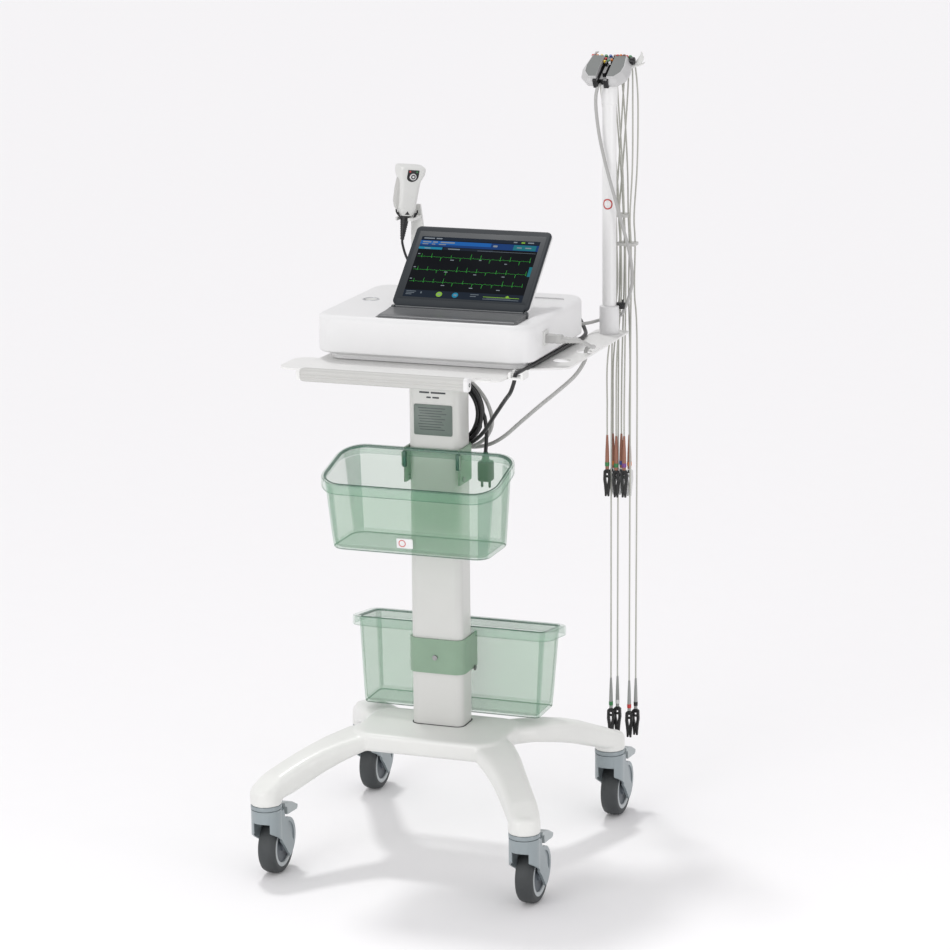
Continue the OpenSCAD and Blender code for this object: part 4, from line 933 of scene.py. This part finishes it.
for i, (x, y, c) in enumerate(((-6, 50, "yellow"), (0, 52, "green"), (5.5, 55, "orange"), (-2, 44, "black"),
                               (4, 46, "white"), (-6, 58, "red"), (14, 64, "red"), (20, 65, "orange"),
                               (26, 65, "brown"))):
    build(f"module_mark_{i}", *slab(4.4, 3.6, 16, 24.2 if y > 60 else 21.5, 1.2, x, y, edge=0.8), COLOURS[c],
          at=MODULE_AT)
build("module_knob", *spin([(0.2, 0), (6.4, 0), (6.8, 1), (6.8, 7), (5.8, 8.4), (3, 8.8), (0.2, 8.8)], 24,
                           "x", (37, 60, 15)), BLACK, at=MODULE_AT, bevel=0.4)
horn_parts = [tube([(247, 303, 1364), (254, 304, 1366), (260, 305, 1368)], [4.2, 3.6, 3.2], 14),
              tube([(257, 304.5, 1366), (263, 305.5, 1372), (268.5, 306.5, 1381), (271, 307, 1389),
                    (269.5, 307, 1392.6)],
                   [3.4, 4.6, 3.8, 2.2, 0.8], 14, flat=0.5),
              tube([(257, 304.5, 1368), (265, 306, 1368), (273, 307.5, 1371), (276.5, 308, 1374)],
                   [3.2, 4.0, 3.0, 0.9], 14, flat=0.5),
              tube([(258, 304.5, 1368), (266, 306, 1374), (271, 307, 1380), (274, 307.5, 1384)],
                   [3.4, 4.6, 4.4, 1.0], 14, flat=0.45)]
melt("module_hook", *merge(*horn_parts), LIGHT, 0.8, 3, hides=["module_horn"], slot="white_plastic")
build("module_hook_small", *tube([(186, 308, 1366), (184, 311, 1374), (183, 312, 1382), (186, 312, 1388),
                                  (190, 312, 1389)], [2.6, 2.6, 2.4, 2.2, 1.2], 12), MODULE)
for name, z, left, far_right in (("comb_top", COMB_TOP, 208, 242), ("comb_low", COMB_LOW, 221, 256)):
    build(name, *slab(far_right - left, 24, z - 3, z + 3, 4, (left + far_right) / 2, 329, edge=1.2), GRIP)

# ---- hand scanner
SCANNER_AT = to(-150, 238, 1098) @ turned("Y", 8) @ turned("Z", 38)
loops = []
for z, w, d, cy in ((-2, 24, 20, 0), (-1.4, 29, 26, 0), (1, 32.4, 28.6, 0), (16, 34, 30, 0),
                    (40, 36.6, 31, 0), (56, 38.6, 31.6, 0), (63, 40.6, 32.8, -0.2), (69, 45, 36.2, -1.2),
                    (75, 48.6, 39, -1.9), (81, 50, 40, -2), (85.5, 49.4, 39, -2), (87.4, 46.6, 35, -2),
                    (88, 42, 30, -2)):
    loops.append([(x, y, z) for x, y in rrect(w, d, 9, 0, cy, 6)])
build("scanner_shell", *loft(loops), LIGHT, at=SCANNER_AT, hides=["scanner_body"], slot="grip_grey")


def face_y(z):
    """The front of the scanner's shell at a height."""
    steps = ((-2, -14), (16, -15), (56, -15.8), (63, -16.6), (69, -19.3), (75, -21.4), (81, -22), (88, -22))
    for (za, ya), (zb, yb) in zip(steps, steps[1:]):
        if z <= zb:
            return ya + (yb - ya) * (z - za) / (zb - za)
    return steps[-1][1]


SHIELD_R, SHIELD_Z = 10.6, 72
panel_v, panel_f = [], []
for i in range(19):
    z = SHIELD_Z - SHIELD_R + 0.05 + (SHIELD_R + 12) * i / 18
    w = SHIELD_R if z >= SHIELD_Z else math.sqrt(SHIELD_R ** 2 - (SHIELD_Z - z) ** 2)
    for j in range(9):
        panel_v.append((w * (j / 4 - 1), face_y(z) - 0.3, z))
        if i and j:
            a = len(panel_v) - 1
            panel_f.append((a, a - 1, a - 10, a - 9))
build("scanner_panel", panel_v, panel_f, BLACK, at=SCANNER_AT)
profile = [(0.2, -24.5), (1.9, -24.5), (2.3, -23.9), (4.1, -23.9), (4.5, -24.5), (5.3, -24.4), (5.9, -23.6),
           (5.9, -18.6), (0.2, -18.6)]
build("scanner_button", *spin(profile, 32, "y", (0, 0, SHIELD_Z)), COLOURS["white"], "scanner_trigger",
      at=SCANNER_AT, hides=["scanner_trigger"], slot="light_grey")
# A black ring in the groove round the trigger: painted shade of the gap.
build("scanner_button_gap_shade", *spin([(2.3, -24.0), (4.1, -24.0)], 32, "y", (0, 0, 72)), BLACK,
      "scanner_trigger", at=SCANNER_AT)
for i, (x, z, c) in enumerate(((-6.5, 81, "red"), (6.5, 81, "green"))):
    build(f"scanner_light_{i}", *spin([(0.2, -22.8), (1.6, -22.7), (1.9, -21.4), (0.2, -21.4)], 16, "y",
                                      (x, 0, z)),
          COLOURS[c], at=SCANNER_AT)
side = []
for z, x0, w in ((8, -16.5, 6), (11, -19.5, 9), (22, -22.5, 10), (44, -22.3, 10.5), (62, -21, 9),
                 (67, -19.5, 6)):
    side.append([(-15, -w, z), (x0, -w + 1.5, z), (x0 - 1.6, 0, z), (x0, w - 1.5, z), (-15, w, z)])
build("scanner_side_grip", *loft(side), GRIP, at=SCANNER_AT, bevel=1.4, segments=3)
boot = [(0.3, -1), (9.5, -1), (10, -3), (9.4, -5), (8, -6)]
for k in range(9):
    z = -8 - k * 4
    r = 8.3 - (k + 0.5) * 0.46
    boot += [(r, z + 1.3), (r, z - 0.6), (r - 0.8, z - 1.0), (r - 0.8, z - 2.2)]
boot += [(3.6, -46.6), (0.3, -47)]
build("scanner_boot", *spin(boot, 28, at=(0, -3, 0)), CABLE_BLACK, at=SCANNER_AT)
build("scanner_arrow", *loft([[(-4.5, y, 1), (4.5, y, 1), (0, y, 7.5)] for y in (-15.0, -14.0)]), BLACK,
      at=SCANNER_AT, bevel=0.3)
for s, end in ((-1, "left"), (1, "right")):
    path = catmull([(s * 20, -9, 9), (s * 18.5, -12, 3), (s * 13, -15, -3), (s * 11, -14, -6),
                    (s * 14, -13, -2), (s * 17, -10, 4)], 4)
    build("holder_foot_" + end, *tube(path, 1.5, 10), BLACK, at=SCANNER_AT)

# ---- floor, light, finish
floor_me = bpy.data.meshes.new("floor")
floor_me.from_pydata([(-30, -30, 0), (30, -30, 0), (30, 30, 0), (-30, 30, 0)], [], [(0, 1, 2, 3)])
floor = bpy.data.objects.new("floor", floor_me)
scene.collection.objects.link(floor)
floor_me.materials.append(material("floor_pale", (0.9, 0.893, 0.9), 0.9, grain=0.0, vary=0.002,
                                   rough_vary=0.02))

world = bpy.data.worlds.new("studio")
scene.world = world
world.use_nodes = True
sky = world.node_tree.nodes["Background"]
sky.inputs["Color"].default_value = (0.995, 0.985, 1.0, 1)
sky.inputs["Strength"].default_value = 0.765
scene.view_settings.view_transform = "Standard"
scene.view_settings.look = "None"


def lamp(name, kind, at, towards, **settings):
    """A light in metres that shines from at to towards."""
    data = bpy.data.lights.new(name, kind)
    for key, value in settings.items():
        setattr(data, key, value)
    o = bpy.data.objects.new(name, data)
    scene.collection.objects.link(o)
    o.location = at
    o.rotation_mode = "QUATERNION"
    o.rotation_quaternion = (Vector(towards) - Vector(at)).to_track_quat("-Z", "Y")


lamp("key", "SUN", (-1.35, 1.45, 5), (0, 0, 0), energy=0.88, angle=0.13)
lamp("fill_front", "AREA", (-0.9, -2.6, 1.1), (0, 0, 0.8), energy=20, shape="DISK", size=1.6)
lamp("fill_right", "AREA", (1.8, -0.7, 0.5), (0, 0, 0.4), energy=4, shape="DISK", size=0.7)
